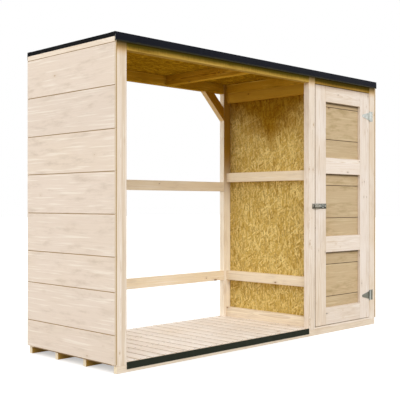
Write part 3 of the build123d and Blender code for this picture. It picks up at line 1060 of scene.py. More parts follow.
@dataclass
class Solid:
    """One solid of a CAD node: merged corners and whole flat faces."""

    points: Points
    faces: list[list[int]]

    @classmethod
    def all_of(cls, node: str) -> list["Solid"]:
        """The solids of a node, left to right, front to back and bottom to top.

        Args:
            node: name of the node.

        Returns:
            The solids in that order.
        """
        shape = cad_shape(node)
        seen: set[int] = set()
        found = []
        for first in shape.verts:
            if first.index in seen:
                continue
            stack, island = [first], []
            seen.add(first.index)
            while stack:
                vert = stack.pop()
                island.append(vert)
                for edge in vert.link_edges:
                    other = edge.other_vert(vert)
                    if other.index not in seen:
                        seen.add(other.index)
                        stack.append(other)
            order = {vert.index: number for number, vert in enumerate(island)}
            own = {face for vert in island for face in vert.link_faces}
            faces = [[order[v.index] for v in face.verts]
                     for face in sorted(own, key=lambda face: face.index)]
            found.append(cls([vert.co.copy() for vert in island], faces))
        shape.free()
        return sorted(found, key=lambda solid: tuple(round(c, 4) for c in solid.box()[0]))

    def box(self) -> tuple[Vector, Vector]:
        """Lowest and highest corner."""
        return span(self.points)

    @classmethod
    def swept(cls, outline: Points, along: Vector) -> "Solid":
        """Solid with an outline at one end and its copy, moved along, at the other.

        Args:
            outline: corners of the first end.
            along: how far, and which way, the copy lies.

        Returns:
            The solid.
        """
        count = len(outline)
        points = [p.copy() for p in outline] + [p + along for p in outline]
        faces = [list(range(count))[::-1], list(range(count, 2 * count))]
        for place in range(count):
            after = (place + 1) % count
            faces.append([place, after, after + count, place + count])
        return cls(points, faces)

    def axes(self) -> tuple[Vector, Vector, Vector]:
        """Directions along the grain, across the wide face and through the thickness.

        Returns:
            The three directions, each of length 1.
        """
        edges = [self.points[face[place]] - self.points[face[place - 1]]
                 for face in self.faces for place in range(len(face))]
        along = max(edges, key=lambda edge: edge.length).normalized()
        best, through = -1.0, UP
        for face in self.faces:
            corners = [self.points[number] for number in face]
            turned = Vector((0, 0, 0))
            for place in range(1, len(corners) - 1):
                turned += (corners[place] - corners[0]).cross(corners[place + 1] - corners[0])
            if turned.length > best and abs(turned.normalized().dot(along)) < 0.1:
                best, through = turned.length, turned.normalized()
        return along, through.cross(along).normalized(), through


class BoardStack:
    """Collects boards into one mesh, and gives each its place in a log of its own."""

    SHARP = math.radians(20)

    def __init__(self, name: str, arris: float = 0.0) -> None:
        """Starts an empty stack.

        Args:
            name: name of the piece that the boards become.
            arris: how far each edge is rounded off.
        """
        self.name = name
        self.arris = arris
        self.chance = seeded(name)
        self.points: Points = []
        self.faces: list[list[int]] = []
        self.carried: dict[str, list] = {"cut": [], "half": [], "tone": [], "seam": []}

    def add(self, solid: Solid, seam: Callable[[Vector], float] = lambda point: 0.0,
            out: Vector | None = None) -> None:
        """Rounds one board off and adds it with its attributes.

        Args:
            solid: the board.
            seam: how far a point lies down in a joint, from 0 to 1; it is also 1 on a face that is
                given painted shade in a gap.
            out: direction that the board's show face looks in, where its back edge matters.
        """
        shape = solid_shape([solid])
        if self.arris:
            ease(shape, self.SHARP, self.arris, segments=2)
        along, across, through = solid.axes()
        if out and through.dot(out) < 0:
            across, through = -across, -through
        axes = (along, across, through)
        turned = [[point.dot(axis) for axis in axes] for point in solid.points]
        sides = [(min(part), max(part)) for part in zip(*turned)]
        half = tuple((high - low) / 2 for low, high in sides)
        tone = self.chance.random()
        flip = self.chance.choice((-1, 1))
        start = len(self.points)
        shape.verts.index_update()
        for vert in shape.verts:
            x, y, z = (vert.co.dot(axis) - (low + high) / 2
                       for axis, (low, high) in zip(axes, sides))
            self.points.append(vert.co.copy())
            row = ((x, y * flip, z if out else z * flip), half, tone, seam(vert.co))
            for carried, value in zip(self.carried.values(), row):
                carried.append(value)
        for face in shape.faces:
            self.faces.append([vert.index + start for vert in face.verts])
        shape.free()

    def mesh(self) -> Mesh:
        """Makes the collected boards one mesh.

        Returns:
            The mesh, with the four attributes.
        """
        mesh = bpy.data.meshes.new(self.name)
        mesh.from_pydata([tuple(p) for p in self.points], [], self.faces)
        for key in ("cut", "half"):
            layer = mesh.attributes.new(key, "FLOAT_VECTOR", "POINT")
            layer.data.foreach_set("vector", [v for row in self.carried[key] for v in row])
        for key in ("tone", "seam"):
            layer = mesh.attributes.new(key, "FLOAT", "POINT")
            layer.data.foreach_set("value", self.carried[key])
        mesh.update()
        return mesh


@dataclass
class Framing:
    """Posts, rails, headers, joists, braces, bearers and the sill, with planed arrises."""

    arris: float = 0.0022
    fine: float = 0.0009
    slots: tuple[str, ...] = ("post_wood", "rail_wood", "roof_wood", "bearer_wood", "deck_wood",
                              "door_wood")
    skipped: tuple[str, ...] = ("log_bay_deck", "cupboard_floor")
    # The stile whose outer side is given painted shade in the gap beside the middle post.
    gap_shaded_stile: str = "door_left_stile"

    def build(self) -> None:
        """Builds one piece for each timber node that keeps its outline."""
        for node in sorted(frame["nodes"]):
            if SLOT_OF[node] not in self.slots or node in self.skipped:
                continue
            arris = self.fine if SLOT_OF[node] == "door_wood" else self.arris
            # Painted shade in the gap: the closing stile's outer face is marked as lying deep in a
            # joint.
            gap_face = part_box(node)[0].x + MERGE if node == self.gap_shaded_stile else -math.inf
            stack = BoardStack(f"{node}_timber", arris)
            for solid in Solid.all_of(node):
                stack.add(solid, lambda point: float(point.x < gap_face))
            stand_in(stack.mesh(), node)


@dataclass
class Boarding:
    """Tongued boards with a V groove at each joint, in place of one grooved panel."""

    node: str
    wall: Wall
    groove_wide: float = 0.005
    groove_deep: float = 0.003
    lip: Pair = (0.3, 0.62)
    mouth: float = 1.15
    chamfer: float = 0.001
    gap: float = 0.0008
    set_back: float = 0.0004
    tongue: float = 0.005
    tongue_share: Pair = (0.34, 0.62)
    play: float = 0.0003

    @property
    def out(self) -> Vector:
        """Direction that the show face looks in."""
        return Vector(self.wall.value)

    @property
    def run(self) -> Vector:
        """Direction that the boards run in."""
        return Vector((abs(self.out.y), abs(self.out.x), 0))

    def joints(self) -> list[float]:
        """Heights of the panel's foot, its grooves and its top.

        Returns:
            The heights, from the foot up.
        """
        points = [vert.co for vert in frame["nodes"][self.node].data.vertices]
        depths = [p.dot(self.out) for p in points]
        outer, inner = max(depths), min(depths)
        roots = {round(p.z, 5) for p, depth in zip(points, depths)
                 if inner + self.groove_deep / 4 < depth < outer - self.groove_deep / 4}
        low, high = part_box(self.node)
        return [low.z, *sorted(roots), high.z]

    def section(self, foot: float, top: float, thick: float, first: bool,
                last: bool) -> list[Pair]:
        """Section of one board, as distances from the inner face and heights.

        Args:
            foot: height of its lower joint.
            top: height of its upper joint.
            thick: thickness of the panel.
            first: True for the lowest board, which has no groove below.
            last: True for the top board, which has no tongue.

        Returns:
            The corners, counter-clockwise.
        """
        half = self.groove_wide / 2
        inner, outer = (share * thick for share in self.tongue_share)
        root, lip = thick - self.groove_deep, thick - self.groove_deep * self.lip[0]
        rise, mouth = half * self.lip[1], half * self.mouth
        foot += 0 if first else self.gap / 2
        top -= 0 if last else self.gap / 2
        corners = [(0.0, foot)]
        if first:
            corners += [(thick - self.chamfer, foot), (thick, foot + self.chamfer)]
        else:
            deep = foot + self.tongue + self.play
            near, far = inner - self.play, outer + self.play
            corners += [(near, foot), (near, deep), (far, deep), (far, foot), (root, foot),
                        (lip, foot + rise), (thick, foot + mouth)]
        corners += [(thick, top - mouth), (lip, top - rise), (root, top)]
        if not last:
            corners += [(outer, top), (outer, top + self.tongue), (inner, top + self.tongue),
                        (inner, top)]
        return [*corners, (0.0, top)]

    def seam(self, depth: float, thick: float) -> float:
        """How far a point lies down in a joint.

        Args:
            depth: the point's distance to the inner face.
            thick: thickness of the panel.

        Returns:
            A share from 0 to 1.
        """
        if depth < MERGE:
            return 0.0
        return min(1.0, max(0.0, (thick - depth) / self.groove_deep))

    def build(self) -> None:
        """Builds the panel's boards as one piece."""
        low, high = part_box(self.node)
        out, run = self.out, self.run
        thick = abs((high - low).dot(out)) - self.set_back
        inner = min(low.dot(out), high.dot(out))
        heights = self.joints()
        stack = BoardStack(f"{self.node}_tongued")
        for number, (foot, top) in enumerate(zip(heights, heights[1:])):
            section = self.section(foot, top, thick, number == 0, number == len(heights) - 2)
            outline = [out * (inner + depth) + run * low.dot(run) + Vector((0, 0, z))
                       for depth, z in section]
            stack.add(Solid.swept(outline, run * (high - low).dot(run)),
                      lambda point: self.seam(point.dot(out) - inner, thick), out)
        stand_in(stack.mesh(), self.node)


@dataclass
class Trims:
    """The narrow board at the top of each side wall."""

    node: str = "wall_top_trims"
    arris: float = 0.0018

    def build(self) -> None:
        """Builds the trims, with a joint at the foot of each."""
        stack = BoardStack(f"{self.node}_planed", self.arris)
        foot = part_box(self.node)[0].z
        for solid in Solid.all_of(self.node):
            stack.add(solid, lambda point: max(0.0, 1.0 - (point.z - foot) / self.arris))
        stand_in(stack.mesh(), self.node)


def grown(tree: Tree, values: dict, base: Mesh, name: str) -> Mesh:
    """Evaluates a tree of Geometry Nodes once.

    Args:
        tree: the tree.
        values: value of each named input.
        base: mesh that goes into the tree.
        name: name of the mesh that comes out.

    Returns:
        A plain mesh, with no modifier behind it.
    """
    carrier = bpy.data.objects.new(f"{name}_carrier", base)
    bpy.context.scene.collection.objects.link(carrier)
    modifier = carrier.modifiers.new("field", "NODES")
    modifier.node_group = tree
    for item in tree.interface.items_tree:
        if item.in_out == "INPUT" and item.name in values:
            modifier[item.identifier] = values[item.name]
    graph = bpy.context.evaluated_depsgraph_get()
    graph.update()
    mesh = bpy.data.meshes.new_from_object(carrier.evaluated_get(graph), depsgraph=graph)
    mesh.name = name
    carrier.modifiers.clear()
    bpy.data.objects.remove(carrier)
    return mesh


@dataclass
class SlattedFloor:
    """Floor of slats that run front to back between the posts, the last one ripped to fit."""

    node: str
    posts: tuple[str, ...]
    pitch: float = 0.095
    gap: float = 0.005
    arris: float = 0.0022
    ragged: float = 0.0024
    seed: int = 3
    seed_step: int = 5
    meshes: list[Mesh] = field(default_factory=list)
    slats: list[tuple[float, float, float, float]] = field(default_factory=list)

    @staticmethod
    @cache
    def tree() -> Tree:
        """Geometry Nodes that lay slats side by side, front to back.

        Returns:
            The shared tree.
        """
        w = Group("laid_slats", "GeometryNodeTree", {
            "Geometry": "Geometry", "Count": "Int", "Pitch": "Float", "Width": "Float",
            "Length": "Float", "Thickness": "Float", "Arris": "Float", "Ragged": "Float",
            "Corner": "Vector", "Seed": "Int", "Material": "Material"})
        given = w.given
        half_wide, half_long, half_thick = (
            w.scaled(given[key], 0.5) for key in ("Width", "Length", "Thickness"))
        profile = w.add("GeometryNodeCurvePrimitiveQuadrilateral",
                        {"Width": given["Width"], "Height": given["Thickness"]})
        rounded = w.add("GeometryNodeFilletCurve", {
            "Curve": profile.outputs[0], "Count": 2, "Radius": given["Arris"]}, mode="POLY")
        path = w.add("GeometryNodeCurvePrimitiveLine",
                     {"End": w.combine(0.0, given["Length"], 0.0)})
        carried = w.add("GeometryNodeCurveToMesh", {
            "Curve": path.outputs[0], "Profile Curve": rounded.outputs[0],
            "Fill Caps": True}).outputs[0]
        x, y, z = w.split(w.add("GeometryNodeInputPosition").outputs[0])
        cut = w.combine(w.math("SUBTRACT", y, half_long), x, z)
        half = w.combine(half_long, half_wide, half_thick)
        for key, value in (("cut", cut), ("half", half)):
            carried = w.add("GeometryNodeStoreNamedAttribute",
                            {"Geometry": carried, "Name": key, "Value": value},
                            data_type="FLOAT_VECTOR", domain="POINT").outputs[0]
        corner = w.vector("ADD", given["Corner"], w.combine(half_wide, 0.0, half_thick))
        row = w.add("GeometryNodeMeshLine", {
            "Count": given["Count"], "Start Location": corner,
            "Offset": w.combine(given["Pitch"], 0.0, 0.0)})
        step, own = (w.add("FunctionNodeRandomValue", {"Seed": seed}, data_type="FLOAT").outputs[1]
                     for seed in (given["Seed"], w.math("ADD", given["Seed"], 1.0)))
        moved = w.add("GeometryNodeSetPosition", {
            "Geometry": row.outputs[0],
            "Offset": w.combine(0.0, w.times(step, given["Ragged"]), 0.0)})
        laid = w.add("GeometryNodeInstanceOnPoints",
                     {"Points": moved.outputs[0], "Instance": carried})
        toned = w.add("GeometryNodeStoreNamedAttribute",
                      {"Geometry": laid.outputs[0], "Name": "tone", "Value": own},
                      data_type="FLOAT", domain="INSTANCE")
        return w.end_field(toned.outputs[0])

    def lay(self, left: float, right: float, front: float, back: float) -> None:
        """Lays slats over one rectangle, whole ones from the left.

        Args:
            left: the rectangle's left edge.
            right: its right edge.
            front: its front edge.
            back: its back edge.
        """
        low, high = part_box(self.node)
        whole = int((right - left + self.gap) / self.pitch + 1e-6)
        rest = right - left - whole * self.pitch
        runs = [(whole, self.pitch - self.gap, left)] if whole else []
        if rest > self.gap * 3:
            runs.append((1, rest, right - rest))
        for count, width, start in runs:
            self.seed += self.seed_step
            self.slats += [(start + number * self.pitch, width, front, back)
                           for number in range(count)]
            self.meshes.append(grown(self.tree(), {
                "Count": count, "Pitch": self.pitch, "Width": width,
                "Length": back - front - self.ragged, "Thickness": high.z - low.z,
                "Arris": self.arris, "Ragged": self.ragged, "Corner": (start, front, low.z),
                "Seed": self.seed, "Material": finish_of(self.node),
            }, bpy.data.meshes.new("slat_base"), f"{self.node}_run"))

    def build(self) -> None:
        """Lays each stretch between posts, and joins the runs into one piece."""
        low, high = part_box(self.node)
        cuts = sorted({low.x, high.x, *(side.x for post in self.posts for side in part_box(post)
                                        if low.x < side.x < high.x)})
        for left, right in zip(cuts, cuts[1:]):
            front, back = low.y, high.y
            for post in self.posts:
                a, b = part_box(post)
                if a.x < (left + right) / 2 < b.x:
                    front = max(front, b.y) if a.y <= low.y + MERGE else front
                    back = min(back, a.y) if b.y >= high.y - MERGE else back
            self.lay(left, right, front, back)
        shape = bmesh.new()
        for mesh in self.meshes:
            shape.from_mesh(mesh)
        bmesh.ops.recalc_face_normals(shape, faces=shape.faces)
        stand_in(as_mesh(shape, f"{self.node}_slats"), self.node)


@dataclass
class StrandBoards:
    """The roof board and the partition's board, which keep their CAD shape."""

    nodes: tuple[str, ...] = ("roof_board", "partition_board")

    def build(self) -> None:
        """Gives each board the strands in the plane of its face."""
        for node in self.nodes:
            frame["nodes"][node].data.materials[0] = finish_of(node)
            log.info("%s keeps its CAD shape", node)


@dataclass
class FoldedSheet:
    """Thin sheet folded along straight lines, from the path that its section follows."""

    thick: float = 0.0008
    bend: float = 0.0014
    steps: int = 4

    def rounded(self, path: list[Pair]) -> Points:
        """The path with an arc at each corner.

        Args:
            path: the path's corners.

        Returns:
            Points along the rounded path.
        """
        corners = [Vector((a, b, 0)) for a, b in path]
        made = [corners[0]]
        for before, corner, after in zip(corners, corners[1:], corners[2:]):
            come, go = (corner - before).normalized(), (after - corner).normalized()
            reach = self.bend * math.tan(come.angle(go) / 2)
            first, last = corner - come * reach, corner + go * reach
            for step in range(self.steps + 1):
                share = step / self.steps
                made.append(first.lerp(corner, share).lerp(corner.lerp(last, share), share))
        return [*made, corners[-1]]

    def section(self, path: list[Pair]) -> list[Pair]:
        """Closed outline of the sheet, whose outer face is on the left of the path.

        Args:
            path: corners of the outer face, as distances inward and heights.

        Returns:
            The corners of the outline.
        """
        line = self.rounded(path)
        outer, inner = [], []
        for place, point in enumerate(line):
            come = (point - line[place - 1]).normalized() if place else None
            go = (line[place + 1] - point).normalized() if place + 1 < len(line) else None
            along = ((come or go) + (go or come)).normalized()
            across = Vector((along.y, -along.x, 0))
            stretch = 1 / max(0.5, along.dot(go or come))
            outer.append((point.x, point.y))
            moved = point + across * self.thick * stretch
            inner.append((moved.x, moved.y))
        return outer + inner[::-1]

    def run(self, path: list[Pair], start: Vector, inward: Vector, along: Vector) -> Solid:
        """Runs the section along a straight line.

        Args:
            path: corners of the outer face, as distances inward and heights.
            start: the point that the path's distances are measured from.
            inward: direction in which the path's distances grow.
            along: how far, and which way, the sheet runs.

        Returns:
            The sheet as a solid.
        """
        outline = [start + inward * a + Vector((0, 0, b)) for a, b in self.section(path)]
        return Solid.swept(outline, along)


@dataclass
class RoofEdge:
    """Folded sheets round the roof: side trims, with the front and back fascias over them."""

    hem_high: float = 0.009
    hem_deep: float = 0.0029
    swage: float = 0.0008
    swage_at: float = 0.015
    swage_rise: float = 0.002
    nail_count: int = 12
    nail_inset: float = 0.024
    nail_sunk: float = 0.0008
    sheet: FoldedSheet = field(default_factory=FoldedSheet)

    def nails(self) -> Points:
        """Places of the nails along the top legs.

        Returns:
            The places, front leg first.
        """
        low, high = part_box("front_fascia")
        inset, count = self.nail_inset, self.nail_count
        step = (high.x - low.x - 4 * inset) / (count - 1)
        edges = (low.y + inset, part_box("back_fascia")[1].y - inset)
        return [Vector((low.x + 2 * inset + step * number, y, high.z - self.nail_sunk))
                for y in edges for number in range(count)]

    def cut_ends(self) -> None:
        """Builds the front fascia's turned ends, bare where the shears cut the coat."""
        low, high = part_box("front_fascia")
        front, back = low.y + self.sheet.bend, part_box("roof_side_trims")[0].y - MERGE
        foot, top = low.z + self.sheet.bend, high.z - self.swage_at
        corners = ((front, foot), (back, foot), (back, top), (front, top))
        ends = [Solid.swept([Vector((x, y, z)) for y, z in corners],
                            Vector((self.sheet.thick, 0, 0)))
                for x in (low.x, high.x - self.sheet.thick)]
        mesh = as_mesh(solid_shape(ends), "fascia_cut_ends", CREASE)
        mount(new_piece(mesh, CUT_EDGE.material()), Body.STORE.value, "black_trim")

    def build(self) -> None:
        """Builds the fascias, whose front leg is hemmed and swaged, and the side trims."""
        felt_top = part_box("roof_felt")[1].z
        for node, inward in (("front_fascia", -FORWARD), ("back_fascia", FORWARD)):
            low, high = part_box(node)
            rise = felt_top + 2 * self.sheet.thick - low.z
            fold = rise - self.swage_at
            start = Vector((low.x, low.y if inward.y > 0 else high.y, low.z))
            path = [(self.hem_deep, self.hem_high), (self.hem_deep, 0), (0, 0), (0, fold),
                    (self.swage, fold + self.swage_rise), (self.swage, rise),
                    (high.y - low.y, rise)]
            sheet = self.sheet.run(path, start, inward, Vector((high.x - low.x, 0, 0)))
            stand_in(as_mesh(solid_shape([sheet]), f"{node}_folded", CREASE), node)
        self.cut_ends()
        sheets = []
        for solid in Solid.all_of("roof_side_trims"):
            low, high = solid.box()
            left = low.x < 0
            rise = felt_top + self.sheet.thick - low.z
            sheets.append(self.sheet.run(
                [(0, 0), (0, rise), (high.x - low.x, rise)],
                Vector((low.x if left else high.x, low.y, low.z)),
                Vector((1 if left else -1, 0, 0)), Vector((0, high.y - low.y, 0))))
        stand_in(as_mesh(solid_shape(sheets), "roof_side_trims_folded", CREASE),
                 "roof_side_trims")


@dataclass
class FeltRoof:
    """Two lengths of felt, the back one lapped over the front one, a little uneven."""

    thick: float = 0.0014
    lap: float = 0.07
    cell: float = 0.03
    uneven: float = 0.0002
    waves: Pair = (5.0, 7.0)
    drawn_at: float = 1.5
    settle: float = 0.004

    def strip(self, front: float, back: float, rests: Callable[[float], float]) -> Solid:
        """One length of felt.

        Args:
            front: its front edge.
            back: its back edge.
            rests: height of what carries it, from a distance to the back.

        Returns:
            The length as a closed solid.
        """
        low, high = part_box("roof_felt")
        across = max(2, round((high.x - low.x) / self.cell))
        deep = max(2, round((back - front) / self.cell))
        points, faces = [], []
        for level in (0, 1):
            for row in range(deep + 1):
                for column in range(across + 1):
                    x = low.x + (high.x - low.x) * column / across
                    y = front + (back - front) * row / deep
                    drawn = Vector((x * self.waves[0], y * self.waves[1], self.drawn_at))
                    swell = noise.noise(drawn) * 0.5 + 0.5
                    z = rests(y) + level * (self.thick - self.uneven + self.uneven * swell)
                    points.append(Vector((x, y, z)))
        wide = across + 1
        layer = wide * (deep + 1)
        for row in range(deep):
            for column in range(across):
                a = row * wide + column
                quad = [a, a + 1, a + 1 + wide, a + wide]
                faces += [[corner + layer for corner in quad], quad[::-1]]
        rim = [*range(wide), *(row * wide + across for row in range(1, deep + 1)),
               *(deep * wide + column for column in range(across - 1, -1, -1)),
               *(row * wide for row in range(deep - 1, 0, -1))]
        for a, b in zip(rim, [*rim[1:], rim[0]]):
            faces.append([a, b, b + layer, a + layer])
        return Solid(points, faces)

    def build(self) -> None:
        """Lays the front length, and the back one over it."""
        low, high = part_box("roof_felt")
        middle = (low.y + high.y) / 2
        over = middle + self.lap / 2

        def step(y: float) -> float:
            """Height of what carries the back length: the front one, and then the board."""
            return low.z + self.thick * (1.0 if y < over + self.settle else 0.0)

        lengths = [self.strip(low.y, over, lambda y: low.z),
                   self.strip(middle - self.lap / 2, high.y, step)]
        stand_in(as_mesh(solid_shape(lengths), "roof_felt_lapped", CREASE), "roof_felt")


@dataclass
class Metalwork:
    """Hinges, hasp, staple and floor strip: their CAD shape with its arrises eased."""

    arris: float = 0.0004
    crease: float = math.radians(32)
    nodes: tuple[str, ...] = ("lower_hinge_plate", "upper_hinge_plate", "hasp_staple",
                              "lower_hinge_strap", "upper_hinge_strap", "hasp_base", "hasp_flap",
                              "floor_edge_strip")

    def build(self) -> None:
        """Builds one piece for each node."""
        for node in self.nodes:
            shape = cad_shape(node)
            ease(shape, self.crease, self.arris, segments=1)
            stand_in(as_mesh(shape, f"{node}_eased", self.crease), node)


class Head(Enum):
    """Heads of the fasteners, with the radius of each."""

    SCREW = 0.0042
    DECK_SCREW = 0.0038
    BRAD = 0.0015
    CLOUT = 0.0045

    @property
    def crossed(self) -> bool:
        """True for a screw, whose head has a cross recess."""
        return self in (Head.SCREW, Head.DECK_SCREW)

    def model(self) -> bpy.types.Object:
        """Head of unit radius, out of the scene, its top along +Z and its foot below the origin.

        Returns:
            The head's object.
        """
        count = 20 if self.crossed else 10
        rings = ((0.8, -0.3), (1.0, 0.0), (0.96, 0.1), (0.84, 0.16))
        angles = [math.tau * step / count for step in range(count)]
        shape = bmesh.new()
        made = [[shape.verts.new((radius * math.cos(angle), radius * math.sin(angle), height))
                 for angle in angles] for radius, height in rings]
        for lower, upper in zip(made, made[1:]):
            for place in range(count):
                after = (place + 1) % count
                shape.faces.new([lower[place], lower[after], upper[after], upper[place]])
        shape.faces.new(made[0][::-1])
        if self.crossed:
            self.cross(shape, made[-1])
        else:
            shape.faces.new(made[-1])
        bmesh.ops.recalc_face_normals(shape, faces=shape.faces)
        name = f"{self.name.lower()}_head"
        return bpy.data.objects.new(name, as_mesh(shape, name))

    @staticmethod
    def cross(shape: Shape, rim: list[bmesh.types.BMVert]) -> None:
        """Closes a head's top within its rim, round a cross recess.

        Args:
            shape: the head's shape.
            rim: its uppermost ring.
        """
        arm, reach, narrowing, floor_at = 0.12, 0.52, 0.8, 0.02
        outline = []
        for turn in range(4):
            cos, sin = math.cos(turn * math.pi / 2), math.sin(turn * math.pi / 2)
            for x, y in ((arm, arm), (arm, reach), (-arm, reach)):
                outline.append((x * cos - y * sin, x * sin + y * cos))
        top = [shape.verts.new((x, y, rim[0].co.z)) for x, y in outline]
        floor = [shape.verts.new((x * narrowing, y * narrowing, floor_at)) for x, y in outline]
        edges = [shape.edges.new((top[place - 1], top[place])) for place in range(len(top))]
        edges += [edge for edge in shape.edges if edge.verts[0] in rim and edge.verts[1] in rim]
        bmesh.ops.triangle_fill(shape, use_beauty=True, edges=edges, normal=(0, 0, 1))
        for place, vert in enumerate(top):
            shape.faces.new([top[place - 1], vert, floor[place], floor[place - 1]])
        shape.faces.new(floor)


@dataclass
class Fasteners:
    """Screws and nails, as one piece for each body and kind."""

    floors: tuple[SlattedFloor, ...]
    walls: tuple[Boarding, ...]
    roof: RoofEdge
    sheet: float = 0.0025
    strap_holes: tuple[Pair, ...] = ((0.022, 0.014), (0.022, -0.014), (0.050, 0.0), (0.080, 0.0))
    plate_holes: tuple[Pair, ...] = ((0.026, 0.028), (0.026, -0.028), (0.011, 0.012),
                                     (0.011, -0.012))
    hasp_holes: tuple[Pair, ...] = ((0.012, 0.0), (0.040, 0.009), (0.040, -0.009), (0.066, 0.0))
    staple_holes: Pair = (0.0095, 0.0125)
    staple_sheet: float = 0.002
    slat_inset: float = 0.018
    slat_reach: float = 0.03
    slat_shares: Pair = (0.25, 0.75)
    narrow_slat: float = 0.05
    deck_sunk: float = 0.0002
    brad_shares: Pair = (0.22, 0.78)
    side_inset: float = 0.022
    back_inset: float = 0.014
    lot: dict[tuple[str, Body, Head, str], list[tuple[Vector, Vector]]] = field(
        default_factory=dict)

    @staticmethod
    @cache
    def tree() -> Tree:
        """Geometry Nodes that set one head at each point, facing out and turned by chance.

        Returns:
            The shared tree.
        """
        w = Group("set_heads", "GeometryNodeTree", {
            "Geometry": "Geometry", "Head": "Object", "Radius": "Float", "Seed": "Int",
            "Material": "Material"})
        head = w.add("GeometryNodeObjectInfo", {"Object": w.given["Head"]})
        facing = w.add("GeometryNodeInputNamedAttribute", {"Name": "facing"},
                       data_type="FLOAT_VECTOR")
        aimed = w.add("FunctionNodeAlignRotationToVector", {"Vector": facing.outputs[0]}, axis="Z")
        chance = w.add("FunctionNodeRandomValue", {3: math.tau, "Seed": w.given["Seed"]},
                       data_type="FLOAT")
        spin = w.add("FunctionNodeAxisAngleToRotation",
                     {"Axis": (0.0, 0.0, 1.0), "Angle": chance.outputs[1]})
        turned = w.add("FunctionNodeRotateRotation",
                       {"Rotation": aimed.outputs[0], "Rotate By": spin.outputs[0]},
                       rotation_space="LOCAL")
        heads = w.add("GeometryNodeInstanceOnPoints", {
            "Points": w.given["Geometry"], "Instance": head.outputs["Geometry"],
            "Rotation": turned.outputs[0], "Scale": w.combine(*[w.given["Radius"]] * 3)})
        return w.end_field(heads.outputs[0])

    def put(self, name: str, place: Vector, out: Vector, kind: Head, body: Body = Body.STORE,
            slot: str = "galvanised") -> None:
        """Notes one fastener."""
        self.lot.setdefault((name, body, kind, slot), []).append((place, out))

    def leaf(self, name: str, node: str, holes: tuple[Pair, ...], body: Body) -> None:
        """Screws through one leaf.

        Args:
            name: name of the piece that the screws become.
            node: the leaf's node.
            holes: each screw's distance to the leaf's right end, and its height above the middle.
            body: the body that the screws move with.
        """
        low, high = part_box(node)
        for back, up in holes:
            place = Vector((high.x - back, high.y - self.sheet, (low.z + high.z) / 2 + up))
            self.put(name, place, FORWARD, Head.SCREW, body)

    def door(self) -> None:
        """Screws of both hinges, of the hasp's base and of the staple's plate."""
        for side in ("lower", "upper"):
            self.leaf("door_screws", f"{side}_hinge_strap", self.strap_holes, Body.DOOR)
            self.leaf("frame_screws", f"{side}_hinge_plate", self.plate_holes, Body.STORE)
        self.leaf("door_screws", "hasp_base", self.hasp_holes, Body.DOOR)
        low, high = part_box("hasp_staple")
        for side in (-1, 1):
            for up in (-1, 1):
                place = Vector(((low.x + high.x) / 2 + side * self.staple_holes[0],
                                high.y - self.staple_sheet,
                                (low.z + high.z) / 2 + up * self.staple_holes[1]))
                self.put("staple_screws", place, FORWARD, Head.DECK_SCREW)

    def floors_down(self) -> None:
        """Two screws through each slat into each bearer, or one where the slat is narrow."""
        bearers = [sum((corner.y for corner in solid.box()), 0.0) / 2
                   for solid in Solid.all_of("floor_bearers")]
        for floor in self.floors:
            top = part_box(floor.node)[1].z
            for left, wide, front, back in floor.slats:
                shares = self.slat_shares if wide > self.narrow_slat else (0.5,)
                for y in bearers:
                    inside = min(max(y, front + self.slat_inset), back - self.slat_inset)
                    if abs(inside - y) > self.slat_reach:
                        continue
                    for share in shares:
                        place = Vector((left + wide * share, inside, top - self.deck_sunk))
                        self.put("deck_screws", place, UP, Head.DECK_SCREW)

    def cladding(self) -> None:
        """Two brads through each board into the post at either end."""
        for wall in self.walls:
            low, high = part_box(wall.node)
            out, run = wall.out, wall.run
            face = max(low.dot(out), high.dot(out)) - wall.set_back
            inset = self.side_inset if run.y else self.back_inset
            heights = wall.joints()
            for foot, top in zip(heights, heights[1:]):
                for share in self.brad_shares:
                    z = foot + (top - foot) * share
                    for along in (low.dot(run) + inset, high.dot(run) - inset):
                        place = out * face + run * along + Vector((0, 0, z))
                        self.put("wall_brads", place, out, Head.BRAD)

    def build(self) -> None:
        """Notes every fastener, and sets each lot by the shared tree."""
        self.door()
        self.floors_down()
        self.cladding()
        for place in self.roof.nails():
            self.put("roof_nails", place, UP, Head.CLOUT, slot="black_trim")
        for (name, body, kind, slot), rows in self.lot.items():
            base = bpy.data.meshes.new(f"{name}_places")
            base.from_pydata([tuple(place) for place, _ in rows], [], [])
            layer = base.attributes.new("facing", "FLOAT_VECTOR", "POINT")
            layer.data.foreach_set("vector", [value for _, out in rows for value in out])
            head = kind.model()
            material = FINISH_OF_SLOT[slot].material()
            mesh = grown(self.tree(), {"Head": head, "Radius": kind.value, "Seed": len(rows),
                                       "Material": material}, base, name)
            bpy.data.objects.remove(head)
            mount(new_piece(mesh, material), body.value, slot)


